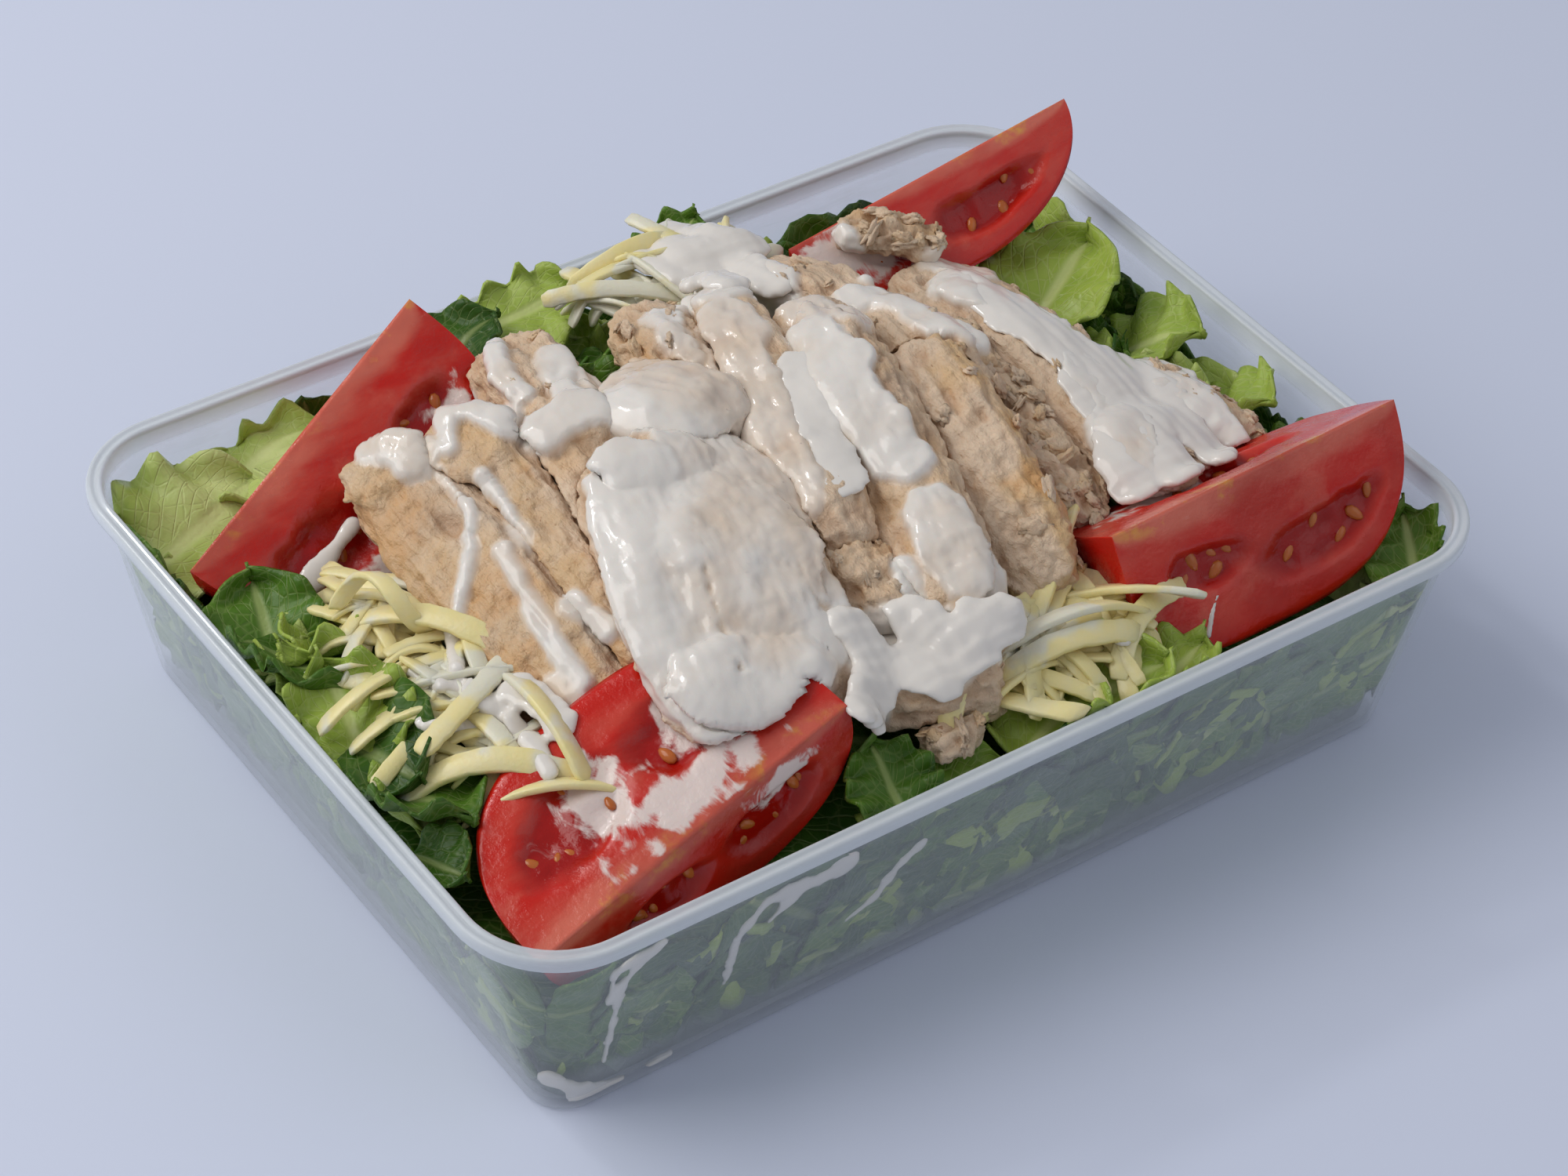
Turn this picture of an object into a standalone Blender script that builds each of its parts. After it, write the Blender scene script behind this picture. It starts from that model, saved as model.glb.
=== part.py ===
"""Chicken caesar salad in a clear rectangular takeaway tub.

The tub stands on z = 0 with its long side along X and its centre over the origin.
Every length below is in millimetres; finish() turns each mesh into metres.
The toppings are shaped first, each is cut back from the ones above it, and the
heap of lettuce is then fitted to all of them.
"""
import math
import random

import bpy
import bmesh
from mathutils import Matrix, Vector, noise
from mathutils.bvhtree import BVHTree

MM = 0.001
GAP = 0.35
WELD = 0.002
FLAT_ANGLE = math.radians(2.5)
BOOLEAN_TRIES = [("EXACT", True), ("MANIFOLD", True), ("EXACT", False), ("MANIFOLD", False)]
UP = Vector((0, 0, 1))

# Tub: outer sizes of the rim and of the base, wall and lip
RIM_LENGTH = 172.0
RIM_DEPTH = 126.0
TUB_HEIGHT = 38.0
RIM_CORNER = 15.5
BASE_LENGTH = 152.0
BASE_DEPTH = 111.5
BASE_CORNER = 6.5
BASE_EDGE = 1.2
WALL = 0.7
RIM_WIDTH = 2.4
LIP_DROP = 2.2
LIP_SKIN = 0.8
CORNER_STEPS = 5

# Heap of lettuce: usual level, and how far it hangs back from the wall
SALAD_LEVEL = 28.0
SALAD_GRID = (16, 11)
FLOOR_GAP = 0.4
LEAF_THICK = 0.9
PIECE_SEED = 11


def spow(value, power):
    """Signed power, for superellipse shapes."""
    return math.copysign(abs(value) ** power, value)


def mix(low, high, share):
    return low + (high - low) * share


# Scene, collections, materials and small mesh helpers

def clear_scene():
    for obj in list(bpy.data.objects):
        bpy.data.objects.remove(obj, do_unlink=True)


def collection(name, hidden=False):
    group = bpy.data.collections.new(name)
    bpy.context.scene.collection.children.link(group)
    group.hide_render = hidden
    return group


def material(name, colour, roughness, alpha=1.0):
    mat = bpy.data.materials.new(name)
    mat.use_nodes = True
    shader = mat.node_tree.nodes["Principled BSDF"]
    shader.inputs["Base Color"].default_value = (*colour, 1.0)
    shader.inputs["Roughness"].default_value = roughness
    shader.inputs["Metallic"].default_value = 0.0
    shader.inputs["Alpha"].default_value = alpha
    mat.diffuse_color = (*colour, alpha)
    return mat


def new_object(name, bm, group, mat=None):
    mesh = bpy.data.meshes.new(name)
    bm.to_mesh(mesh)
    bm.free()
    obj = bpy.data.objects.new(name, mesh)
    group.objects.link(obj)
    if mat:
        mesh.materials.append(mat)
    return obj


def store(bm, obj):
    """Put a bmesh into an object and mark its mesh as changed."""
    bm.to_mesh(obj.data)
    bm.free()
    obj.data.update()
    obj.data.update_tag()


def mesh_copy(obj):
    bm = bmesh.new()
    bm.from_mesh(obj.data)
    return bm


def shells(bm):
    """Lists of faces, one for each connected shell."""
    left = set(bm.faces)
    found = []
    while left:
        shell = [left.pop()]
        for face in shell:
            for edge in face.edges:
                for other in edge.link_faces:
                    if other in left:
                        left.discard(other)
                        shell.append(other)
        found.append(shell)
    return found


def keep_main_shell(bm):
    """Drop loose scraps and fill sealed hollows: only the largest shell stays."""
    main = max(shells(bm), key=lambda shell: sum(face.calc_area() for face in shell))
    keep = set(main)
    bmesh.ops.delete(bm, geom=[face for face in bm.faces if face not in keep], context="FACES")


def volume(obj):
    bm = mesh_copy(obj)
    size = abs(bm.calc_volume(signed=True))
    bm.free()
    return size


def closed_volume(bm):
    """Volume of the largest shell, the others being dropped, or 0 if it isn't closed."""
    bmesh.ops.triangulate(bm, faces=bm.faces)
    if bm.faces:
        keep_main_shell(bm)
    if bm.faces and all(edge.is_manifold for edge in bm.edges):
        return bm.calc_volume(signed=True)
    return 0.0


def boolean(obj, other, operation):
    """Apply one Boolean with an object, or with every object of a collection.

    A result counts only if it is closed and as large as it must be.
    """
    least = volume(obj) * 0.99
    if operation == "DIFFERENCE":
        least -= volume(other)
    for solver, weld in BOOLEAN_TRIES:
        modifier = obj.modifiers.new("boolean", "BOOLEAN")
        modifier.operation = operation
        modifier.solver = solver
        if isinstance(other, bpy.types.Collection):
            modifier.operand_type = "COLLECTION"
            modifier.collection = other
        else:
            modifier.object = other
        bpy.context.view_layer.update()
        evaluated = obj.evaluated_get(bpy.context.evaluated_depsgraph_get())
        mesh = bpy.data.meshes.new_from_object(evaluated)
        obj.modifiers.clear()
        bm = bmesh.new()
        bm.from_mesh(mesh)
        bpy.data.meshes.remove(mesh)
        if weld:
            bmesh.ops.remove_doubles(bm, verts=bm.verts, dist=WELD)
            bmesh.ops.dissolve_degenerate(bm, edges=bm.edges, dist=WELD)
        if closed_volume(bm) > max(least, 0.0):
            store(bm, obj)
            return True
        bm.free()
    return False


def simplify(obj):
    """Join the fragments of flat faces, if the solid stays closed and whole."""
    before = volume(obj)
    bm = mesh_copy(obj)
    bmesh.ops.dissolve_limit(bm, verts=bm.verts, edges=bm.edges, angle_limit=FLAT_ANGLE)
    if abs(closed_volume(bm) - before) < before * 0.01:
        store(bm, obj)
    else:
        bm.free()


def boxes_meet(first, second, margin=1.0):
    """Whether the bounding boxes of two objects come within a margin."""
    for axis in range(3):
        a = [corner.co[axis] for corner in first.data.vertices]
        b = [corner.co[axis] for corner in second.data.vertices]
        if min(a) > max(b) + margin or min(b) > max(a) + margin:
            return False
    return True


def grown(name, shape, group, distance=GAP):
    """Copy of a closed shape with its surface moved outwards, used as a cutter."""
    bm = shape.copy()
    bm.normal_update()
    moves = [(vert, vert.normal * distance * min(vert.calc_shell_factor(), 1.6)) for vert in bm.verts]
    for vert, move in moves:
        vert.co += move
    cutter = new_object(name + "_cutter", bm, group)
    cutter.hide_render = True
    cutter.display_type = "WIRE"
    return cutter


def cut_back(obj, cutters):
    """Cut a piece back from its neighbours' cutters, so that a small gap stays."""
    for cutter in cutters:
        if boxes_meet(obj, cutter) and not boolean(obj, cutter, "DIFFERENCE"):
            raise RuntimeError(f"{obj.name} can't be cut by {cutter.name}")


def fuse(core, pieces):
    """Join pieces onto their core with one Boolean union, in halves where it fails."""
    group = collection(core.name + "_pieces")
    for index, bm in enumerate(pieces):
        new_object(f"{core.name}_piece_{index}", bm.copy(), group)
    joined = boolean(core, group, "UNION")
    for obj in list(group.objects):
        bpy.data.objects.remove(obj, do_unlink=True)
    bpy.data.collections.remove(group)
    if not joined and len(pieces) > 1:
        half = len(pieces) // 2
        fuse(core, pieces[:half])
        fuse(core, pieces[half:])


def finish(obj, smooth_angle=40.0):
    """From millimetres to metres, with soft shading on the round stretches."""
    obj.data.transform(Matrix.Scale(MM, 4))
    obj.data.shade_smooth()
    obj.data.set_sharp_from_angle(angle=math.radians(smooth_angle))


# Tub: a loft of rounded rectangles, down the outside and up the inside

def rounded_rectangle(length, depth, radius, height):
    points = []
    for quarter in range(4):
        sx = 1 if quarter in (0, 3) else -1
        sy = 1 if quarter in (0, 1) else -1
        centre = Vector((sx * (length / 2 - radius), sy * (depth / 2 - radius), height))
        for step in range(CORNER_STEPS + 1):
            angle = (quarter + step / CORNER_STEPS) * math.pi / 2
            points.append(centre + Vector((math.cos(angle), math.sin(angle), 0)) * radius)
    return points


def wall_section(height, inset):
    """Length, depth and corner radius of the wall's outside at a height, less an inset."""
    share = (height - BASE_EDGE) / (TUB_HEIGHT - BASE_EDGE)
    length = mix(BASE_LENGTH, RIM_LENGTH - 2 * RIM_WIDTH + 2 * WALL, share) - 2 * inset
    depth = mix(BASE_DEPTH, RIM_DEPTH - 2 * RIM_WIDTH + 2 * WALL, share) - 2 * inset
    radius = mix(BASE_CORNER, RIM_CORNER - RIM_WIDTH, share) - inset
    return length, depth, max(radius, 1.0)


def tub():
    def rim_ring(inset, drop):
        return rounded_rectangle(RIM_LENGTH - 2 * inset, RIM_DEPTH - 2 * inset,
                                 RIM_CORNER - inset, TUB_HEIGHT - drop)

    def wall_ring(height, inset):
        return rounded_rectangle(*wall_section(height, inset), height)

    def base_ring(inset, height):
        return rounded_rectangle(BASE_LENGTH - 2 * inset, BASE_DEPTH - 2 * inset,
                                 BASE_CORNER - inset * 0.6, height)

    skirt = LIP_SKIN + 0.2
    rings = [base_ring(BASE_EDGE, 0), base_ring(BASE_EDGE * 0.3, BASE_EDGE * 0.3),
             wall_ring(BASE_EDGE, 0), wall_ring(TUB_HEIGHT / 2, 0),
             wall_ring(TUB_HEIGHT - LIP_DROP - 1, 0), wall_ring(TUB_HEIGHT - LIP_SKIN, 0),
             rim_ring(skirt, LIP_SKIN), rim_ring(LIP_SKIN, LIP_DROP), rim_ring(0.1, LIP_DROP),
             rim_ring(0, LIP_DROP - 0.3), rim_ring(0, 0.5), rim_ring(0.4, 0.1), rim_ring(0.8, 0),
             rim_ring(RIM_WIDTH - 0.5, 0), rim_ring(RIM_WIDTH - 0.1, 0.3),
             wall_ring(TUB_HEIGHT - LIP_DROP, WALL), wall_ring(TUB_HEIGHT / 2, WALL),
             wall_ring(BASE_EDGE + WALL, WALL), base_ring(BASE_EDGE + WALL, WALL + 0.1)]
    bm = bmesh.new()
    loops = [[bm.verts.new(point) for point in ring] for ring in rings]
    count = len(loops[0])
    for lower, upper in zip(loops, loops[1:]):
        for i in range(count):
            j = (i + 1) % count
            bm.faces.new((lower[i], lower[j], upper[j], upper[i]))
    bm.faces.new(list(reversed(loops[0])))
    bm.faces.new(loops[-1])
    bmesh.ops.recalc_face_normals(bm, faces=bm.faces)
    return bm


# Tomato wedges: the core line is the ridge, two cut faces fall from it to the skin

WEDGES = {
    "tomato_wedge_left": dict(
        ridge=((-80.5, 31, 37), (-33, 49.5, 54)), fall=(0.37, -0.76, -0.48), angle=62,
        reach=(25, 24), ends=(2.2, 3.4)),
    "tomato_wedge_back": dict(
        ridge=((28, 39, 46), (80, 38.5, 55.5)), fall=(0.1, -0.76, -0.64), angle=56,
        reach=(16, 17), ends=(2.2, 2.0)),
    "tomato_wedge_right": dict(
        ridge=((26, -42, 48.5), (79, -41.5, 50.5)), fall=(0, -0.53, -0.85), angle=84,
        reach=(23, 20), ends=(4.0, 2.6)),
    "tomato_wedge_front": dict(
        ridge=((-77, -54, 31), (-25, -49, 47)), fall=(-0.28, 0.95, 0.1), angle=108,
        reach=(26.5, 15), ends=(2.6, 2.6)),
}
WEDGE_STATIONS = 12
WEDGE_ARC = 6
FACE_SHARES = (0.18, 0.5, 0.82)
POCKET_DEPTH = 0.9


def wedge(ridge, fall, angle, reach, ends):
    start, end = Vector(ridge[0]), Vector(ridge[1])
    along = (end - start).normalized()
    first = Vector(fall)
    first = (first - along * first.dot(along)).normalized()
    side = along.cross(first)
    if side.z > 0:
        side = -side
    turn = math.radians(angle)

    def direction(share):
        return first * math.cos(turn * share) + side * math.sin(turn * share)

    def breadth(t):
        power = ends[0] if t < 0.5 else ends[1]
        return (1 - abs(2 * t - 1) ** power) ** (1 / power)

    def face_point(centre, share, out, reach_here, size, t):
        normal = side * -1 if share == 0 else direction(1.0).cross(along)
        if normal.dot(direction(0.5)) > 0:
            normal = -normal
        pocket = POCKET_DEPTH * math.sin(math.pi * t) ** 2 if out == FACE_SHARES[1] else 0
        return centre + direction(share) * reach_here * size * out - normal * pocket * size

    bm = bmesh.new()
    rings = []
    for station in range(1, WEDGE_STATIONS):
        t = 0.5 - 0.5 * math.cos(math.pi * station / WEDGE_STATIONS)
        size = breadth(t)
        centre = start.lerp(end, t)
        ring = [centre]
        ring += [face_point(centre, 0, out, reach[0], size, t) for out in FACE_SHARES]
        for step in range(WEDGE_ARC + 1):
            share = step / WEDGE_ARC
            ring.append(centre + direction(share) * mix(reach[0], reach[1], share) * size)
        ring += [face_point(centre, 1, out, reach[1], size, t) for out in reversed(FACE_SHARES)]
        rings.append([bm.verts.new(point) for point in ring])
    count = len(rings[0])
    for lower, upper in zip(rings, rings[1:]):
        for i in range(count):
            j = (i + 1) % count
            bm.faces.new((lower[i], lower[j], upper[j], upper[i]))
    for ring, tip in ((rings[0], start), (rings[-1], end)):
        point = bm.verts.new(tip + direction(0.5) * reach[0] * 0.12)
        for i in range(count):
            bm.faces.new((ring[i], ring[(i + 1) % count], point))
    bmesh.ops.triangulate(bm, faces=bm.faces)
    bmesh.ops.recalc_face_normals(bm, faces=bm.faces)
    return [bm]


# Chicken: sliced breast. Each piece is a rounded slab along the line of its top,
# with a width, a thickness, a roll that leans it sideways and a sag of its middle.
# Its coat is thick dressing: lobes given by place along the piece from -1 to 1, place
# across it, length, width and height.

SLICES = {
    "chicken_front_slab": dict(
        line=((-20, 3, 56.8), (-34, -47, 45)), width=33, thick=8, roll=-4, sag=-3,
        coat=((0.0, -3, 30, 24, 3.2), (-0.75, 4, 12, 18, 2.6), (0.7, 2, 14, 26, 3.4))),
    "chicken_smooth": dict(
        line=((-19, 20, 54.5), (-11, -1, 57)), width=19, thick=9.5, roll=0, sag=-1.5,
        coat=((0.1, 0, 16, 14, 2.4),)),
    "chicken_curl_left": dict(
        line=((-24, 41, 50.5), (-27, 15, 52.5)), width=16, thick=11, roll=8, sag=-1,
        coat=((-0.1, 3, 16, 8, 2.6), (0.7, 0, 9, 12, 2.6))),
    "chicken_curl_mid": dict(
        line=((-3, 36, 52), (-8, 11, 55)), width=13, thick=10, roll=5, sag=-1, coat=()),
    "chicken_far_left": dict(
        line=((-53, 29, 48.5), (-52, -30, 41)), width=18, thick=9.5, roll=30, sag=-1.5,
        coat=((-0.85, 0, 12, 15, 3.0), (0.15, -5, 36, 5, 2.2))),
    "chicken_long_mid": dict(
        line=((15, 20, 56.5), (-1, -47, 46)), width=17, thick=11, roll=12, sag=-3.5,
        coat=((-0.35, 0, 38, 13, 3.0), (0.6, 0, 22, 13, 3.0))),
    "chicken_long_left": dict(
        line=((7, 31, 54), (-9, -26, 53.5)), width=15, thick=11, roll=6, sag=-2,
        coat=((-0.5, 0, 28, 12, 2.8),)),
    "chicken_second": dict(
        line=((-42, 26, 52), (-46, -29, 43.5)), width=16, thick=10, roll=24, sag=-2,
        coat=((-0.75, 0, 16, 15, 3.2), (0.45, -3, 30, 6, 2.4))),
    "chicken_third": dict(
        line=((-28, 17, 55), (-40, -25, 48)), width=17, thick=9, roll=8, sag=-1,
        coat=((-0.8, 0, 11, 14, 2.8),)),
    "chicken_browned": dict(
        line=((22, 4, 55.5), (15, -42, 43.5)), width=15, thick=11, roll=26, sag=-2.5, coat=()),
    "chicken_back": dict(
        line=((23, 40, 48), (28, -10, 53)), width=14, thick=10, roll=0, sag=-2,
        coat=((0.4, -1, 24, 10, 2.8), (-0.55, 3, 14, 6, 2.4))),
    "chicken_right_slab": dict(
        line=((47, 30, 44.5), (51, -38, 41)), width=24, thick=9, roll=-16, sag=-3,
        coat=((-0.2, 2, 42, 16, 3.0), (0.65, 2, 20, 18, 2.8))),
    "chicken_shredded": dict(
        line=((36, 12, 50), (33, -34, 42)), width=12, thick=10, roll=-6, sag=-1.5, coat=()),
    "chicken_crag": dict(
        line=((-8, -24, 51), (-5, -39, 46)), width=11, thick=9, roll=0, sag=-1, coat=()),
    "chicken_front_mass": dict(
        line=((-16, -40, 43), (4, -48, 41)), width=15, thick=9, roll=0, sag=-1,
        coat=((-0.4, 2, 10, 9, 3.2), (0.5, 1, 10, 10, 3.0))),
    "chicken_right_end": dict(
        line=((60, -6, 43), (68, -32, 38.5)), width=13, thick=8, roll=-18, sag=-1, coat=()),
    "chicken_chunk": dict(
        line=((26, -27, 42.5), (29, -39, 39.5)), width=10, thick=8, roll=10, sag=0, coat=()),
    "chicken_scrap": dict(
        line=((-4, -51.5, 39), (-14, -53, 37.5)), width=7, thick=5, roll=0, sag=0, coat=()),
    "chicken_shreds": dict(
        line=((35, 37.5, 49.5), (50, 27.5, 48)), width=8, thick=5.5, roll=0, sag=-1, coat=()),
}
SLICE_AROUND = 10
SLICE_ALONG = 8
SMALL_SLICE = 20.0
END_POWER = 0.42
SIDE_POWER = 0.68
CRAG_SIZE = 7.0
CRAG_HEIGHT = 0.9


def slab(seed, line, width, thick, roll, sag, coat):
    start, end = Vector(line[0]), Vector(line[1])
    length = (end - start).length
    along = (end - start).normalized()
    lean = Matrix.Rotation(math.radians(roll), 3, along)
    side = lean @ along.cross(UP).normalized()
    top = side.cross(along)
    shift_noise = Vector((seed * 7.3, width, thick * 3.1))
    fine = length >= SMALL_SLICE

    def middle(offset):
        spot = start.lerp(end, 0.5 + 0.5 * offset) - top * thick / 2
        return spot - UP * sag * (1 - offset * offset)

    bm = bmesh.new()
    bmesh.ops.create_uvsphere(bm, u_segments=SLICE_AROUND if fine else SLICE_AROUND - 2,
                              v_segments=SLICE_ALONG if fine else SLICE_ALONG - 4, radius=1.0)
    for vert in bm.verts:
        polar = math.asin(max(-1.0, min(1.0, vert.co.z)))
        turn = math.atan2(vert.co.y, vert.co.x)
        ring = abs(math.cos(polar)) ** END_POWER
        offset = spow(math.sin(polar), 0.8)
        across = ring * spow(math.cos(turn), SIDE_POWER)
        rise = ring * spow(math.sin(turn), SIDE_POWER)
        point = middle(offset) + side * across * width / 2 + top * rise * thick / 2
        vert.co = point + noise.noise_vector((point + shift_noise) / CRAG_SIZE) * CRAG_HEIGHT * ring
    bmesh.ops.triangulate(bm, faces=bm.faces)
    bmesh.ops.recalc_face_normals(bm, faces=bm.faces)

    shapes = [bm]
    for offset, shift, lobe_length, lobe_width, lobe_height in coat:
        lobe = bmesh.new()
        bmesh.ops.create_uvsphere(lobe, u_segments=8, v_segments=4, radius=0.5)
        centre = middle(offset) + side * shift + top * (thick / 2 - 0.4)
        for vert in lobe.verts:
            x, y, z = vert.co
            bend = UP * sag * ((offset + 2 * y * lobe_length / length) ** 2 - offset * offset)
            point = centre + along * y * lobe_length + side * x * lobe_width + top * z * lobe_height
            vert.co = point + bend + noise.noise_vector((point + shift_noise) / 5.0) * 0.5
        bmesh.ops.triangulate(lobe, faces=lobe.faces)
        bmesh.ops.recalc_face_normals(lobe, faces=lobe.faces)
        shapes.append(lobe)
    return shapes


# Lettuce heap: its core fills the tub to an uneven level under the toppings

def salad_level(x, y):
    """Height of the bare heap: a mound, low at the right end and in two corners."""
    mound = math.exp(-((x + 2) / 52) ** 2 - ((y + 2) / 40) ** 2)
    level = SALAD_LEVEL + 14 * mound
    level -= 7 * math.exp(-((x + 74) / 20) ** 2 - ((y - 54) / 18) ** 2)
    level -= 5 * math.exp(-((x - 78) / 14) ** 2)
    level -= 5 * math.exp(-((x - 60) / 26) ** 2 - ((y - 52) / 16) ** 2)
    return level + 1.6 * noise.noise(Vector((x, y, 0)) / 9.0)


def salad_foot(x, y):
    """The leaves bridge the base's edge along the right half of the front wall."""
    lift = 6.5 * math.exp(-((x - 52) / 34) ** 2 - ((y + 56) / 7) ** 2)
    return WALL + FLOOR_GAP + lift


def in_outline(u, v, length, depth, radius):
    """Point of the unit square moved into a rounded rectangle."""
    x, y = u * length / 2, v * depth / 2
    over_x, over_y = abs(x) - (length / 2 - radius), abs(y) - (depth / 2 - radius)
    if over_x > 0 and over_y > 0:
        squeeze = max(over_x, over_y) / math.hypot(over_x, over_y)
        x = math.copysign(length / 2 - radius + over_x * squeeze, x)
        y = math.copysign(depth / 2 - radius + over_y * squeeze, y)
    return x, y


def lettuce_core(group, mat):
    columns, rows = SALAD_GRID
    bm = bmesh.new()
    bmesh.ops.create_grid(bm, x_segments=columns, y_segments=rows, size=1.0)
    sheet = list(bm.faces)
    for layer in (1, 2):
        new = bmesh.ops.extrude_face_region(bm, geom=sheet, use_keep_orig=layer == 1)["geom"]
        verts = [item for item in new if isinstance(item, bmesh.types.BMVert)]
        bmesh.ops.translate(bm, verts=verts, vec=(0, 0, 1))
        if layer == 2:
            bmesh.ops.delete(bm, geom=sheet, context="FACES")
        sheet = [item for item in new if isinstance(item, bmesh.types.BMFace)]
    for vert in bm.verts:
        u, v, layer = vert.co.x, vert.co.y, round(vert.co.z)
        guess = in_outline(u, v, *wall_section(SALAD_LEVEL, WALL + GAP))
        low, high = salad_foot(*guess), salad_level(*guess)
        height = (low, mix(low, high, 0.5), high)[layer]
        inset = WALL + GAP + (0.5 if layer else BASE_EDGE)
        x, y = in_outline(u, v, *wall_section(max(height, BASE_EDGE), inset))
        vert.co = (x, y, height)
    bmesh.ops.triangulate(bm, faces=bm.faces)
    bmesh.ops.recalc_face_normals(bm, faces=bm.faces)
    return new_object("lettuce", bm, group, mat)


def ribbon(length, width, thick, steps, rows, shape):
    """Thin solid over a grid: both faces are split into triangles alike."""
    bm = bmesh.new()
    bmesh.ops.create_grid(bm, x_segments=steps, y_segments=rows, size=0.5)
    bmesh.ops.triangulate(bm, faces=bm.faces)
    for vert in bm.verts:
        vert.co = shape(vert.co.x * length, vert.co.y * width)
    bmesh.ops.recalc_face_normals(bm, faces=bm.faces)
    bmesh.ops.solidify(bm, geom=list(bm.faces), thickness=thick)
    bmesh.ops.recalc_face_normals(bm, faces=bm.faces)
    return bm


def leaf(place, yaw, pitch, roll, length, width, wave, phase):
    """Torn leaf: a cupped, wavy sheet with a narrower tip."""
    turn = (Matrix.Rotation(yaw, 3, "Z") @ Matrix.Rotation(-pitch, 3, "Y")
            @ Matrix.Rotation(roll, 3, "X"))
    centre = Vector(place)

    def shape(x, y):
        share = x / length
        narrow = 1 - 0.45 * (share + 0.35) ** 2 - 0.25 * abs(share)
        cup = 1.4 * (2 * y / width) ** 2
        ripple = wave * math.sin(x * 0.55 + phase) * (2 * y / width)
        return centre + turn @ Vector((x, y * narrow, cup + ripple - 6 * share * share))

    return ribbon(length, width, LEAF_THICK, 4 if length > LONG_LEAF else 3, 2, shape)


# Leaves that stand out of the heap: centre, heading, tilt, roll, length, width
LEAVES = [
    ((-70, 46, 29), 20, 6, 10, 22, 14),
    ((-75, 20, 33), 75, 20, -12, 15, 9),
    ((-76.5, 8, 35), -75, 8, -25, 16, 8.5),
    ((-76, -4, 35), 80, 14, -18, 15, 9),
    ((-76.5, -14, 35), -80, 12, 20, 15, 8),
    ((-76, -24, 35), -70, 16, -18, 15, 8.5),
    ((-77.5, -36, 33), -75, 14, 18, 11, 6),
    ((-55, 54, 30), 5, 12, -10, 20, 9),
    ((-22, 52.5, 39), 12, 22, -15, 15, 9),
    ((-9, 54.5, 39), -4, 10, 10, 17, 7),
    ((19, 55.5, 40), 18, 25, 0, 11, 5),
    ((68, 21, 36), 25, 18, -10, 18, 11),
    ((73, 3, 34), -65, 36, 10, 15, 8),
    ((73.5, -16, 34), -80, 40, 8, 14, 6),
    ((74.5, -27, 33), -80, 30, 0, 11, 6),
    ((8, -55.5, 34), 12, 10, -12, 14, 7),
    ((18, -55.5, 34.5), -8, 14, 8, 14, 7),
    ((28, -56.5, 33), 14, 8, -8, 12, 5.5),
    ((77, -52, 30), 60, 14, -10, 12, 8),
    ((-21, -54, 35), 80, 20, 0, 10, 7),
    ((-9, -57, 31), 6, 8, 10, 12, 4.5),
]
WALL_LEAVES = 8
TOP_LEAVES = (11, 8)
LEAF_TRIES = 6
LONG_LEAF = 14.5


def wall_leaves(chance):
    """Leaves laid flat against the inside of the four walls, low in the heap."""
    for index in range(WALL_LEAVES):
        share = (index + 0.5) / WALL_LEAVES
        height = chance.uniform(12, 24)
        length, depth, radius = wall_section(height, WALL + GAP + 2.2)
        run = share * 2 * (length + depth)
        if run < length:
            place, heading = (run - length / 2, -depth / 2), 0
        elif run < length + depth:
            place, heading = (length / 2, run - length - depth / 2), 90
        elif run < 2 * length + depth:
            place, heading = (length * 1.5 + depth - run, depth / 2), 180
        else:
            place, heading = (-length / 2, 2 * length + 1.5 * depth - run), 270
        x, y = place
        if abs(x) > length / 2 - radius and abs(y) > depth / 2 - radius:
            continue
        yield ((x, y, height), heading, chance.uniform(-14, 14), 82, chance.uniform(17, 24), 11)


def top_leaves(chance):
    """Small torn pieces scattered on the bare heap round the toppings."""
    columns, rows = TOP_LEAVES
    for row in range(rows):
        for column in range(columns):
            x = mix(-77, 77, column / (columns - 1)) + chance.uniform(-3, 3)
            y = mix(-55, 55, row / (rows - 1)) + chance.uniform(-3, 3)
            size = chance.uniform(11, 17)
            yield ((x, y, salad_level(x, y) + 1.8), chance.uniform(0, 360), chance.uniform(5, 32),
                   chance.uniform(-25, 25), size, size * 0.6)


def tree_of(objects, distance=0.0):
    """One search tree over the grown surfaces of several solids."""
    whole = bmesh.new()
    for obj in objects:
        bm = mesh_copy(obj)
        bm.normal_update()
        moves = [vert.normal * distance for vert in bm.verts]
        for vert, move in zip(bm.verts, moves):
            vert.co += move
        mesh = bpy.data.meshes.new("tree")
        bm.to_mesh(mesh)
        bm.free()
        whole.from_mesh(mesh)
        bpy.data.meshes.remove(mesh)
    tree = BVHTree.FromBMesh(whole)
    whole.free()
    return tree


def crosses(bm, tree):
    return bool(tree.overlap(BVHTree.FromBMesh(bm)))


def above(bm, tree):
    """Normal of the first surface over the piece's middle, or None in the open."""
    middle = sum((vert.co for vert in bm.verts), Vector()) / len(bm.verts)
    return tree.ray_cast(middle, UP)[1]


def fits(bm, trees, hidden_too):
    """A piece fits where it crosses nothing, isn't inside a solid and, if asked, shows."""
    if any(crosses(bm, tree) for tree in trees):
        return False
    roof = above(bm, trees[0])
    return roof is None or (hidden_too and roof.dot(UP) < 0)


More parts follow.
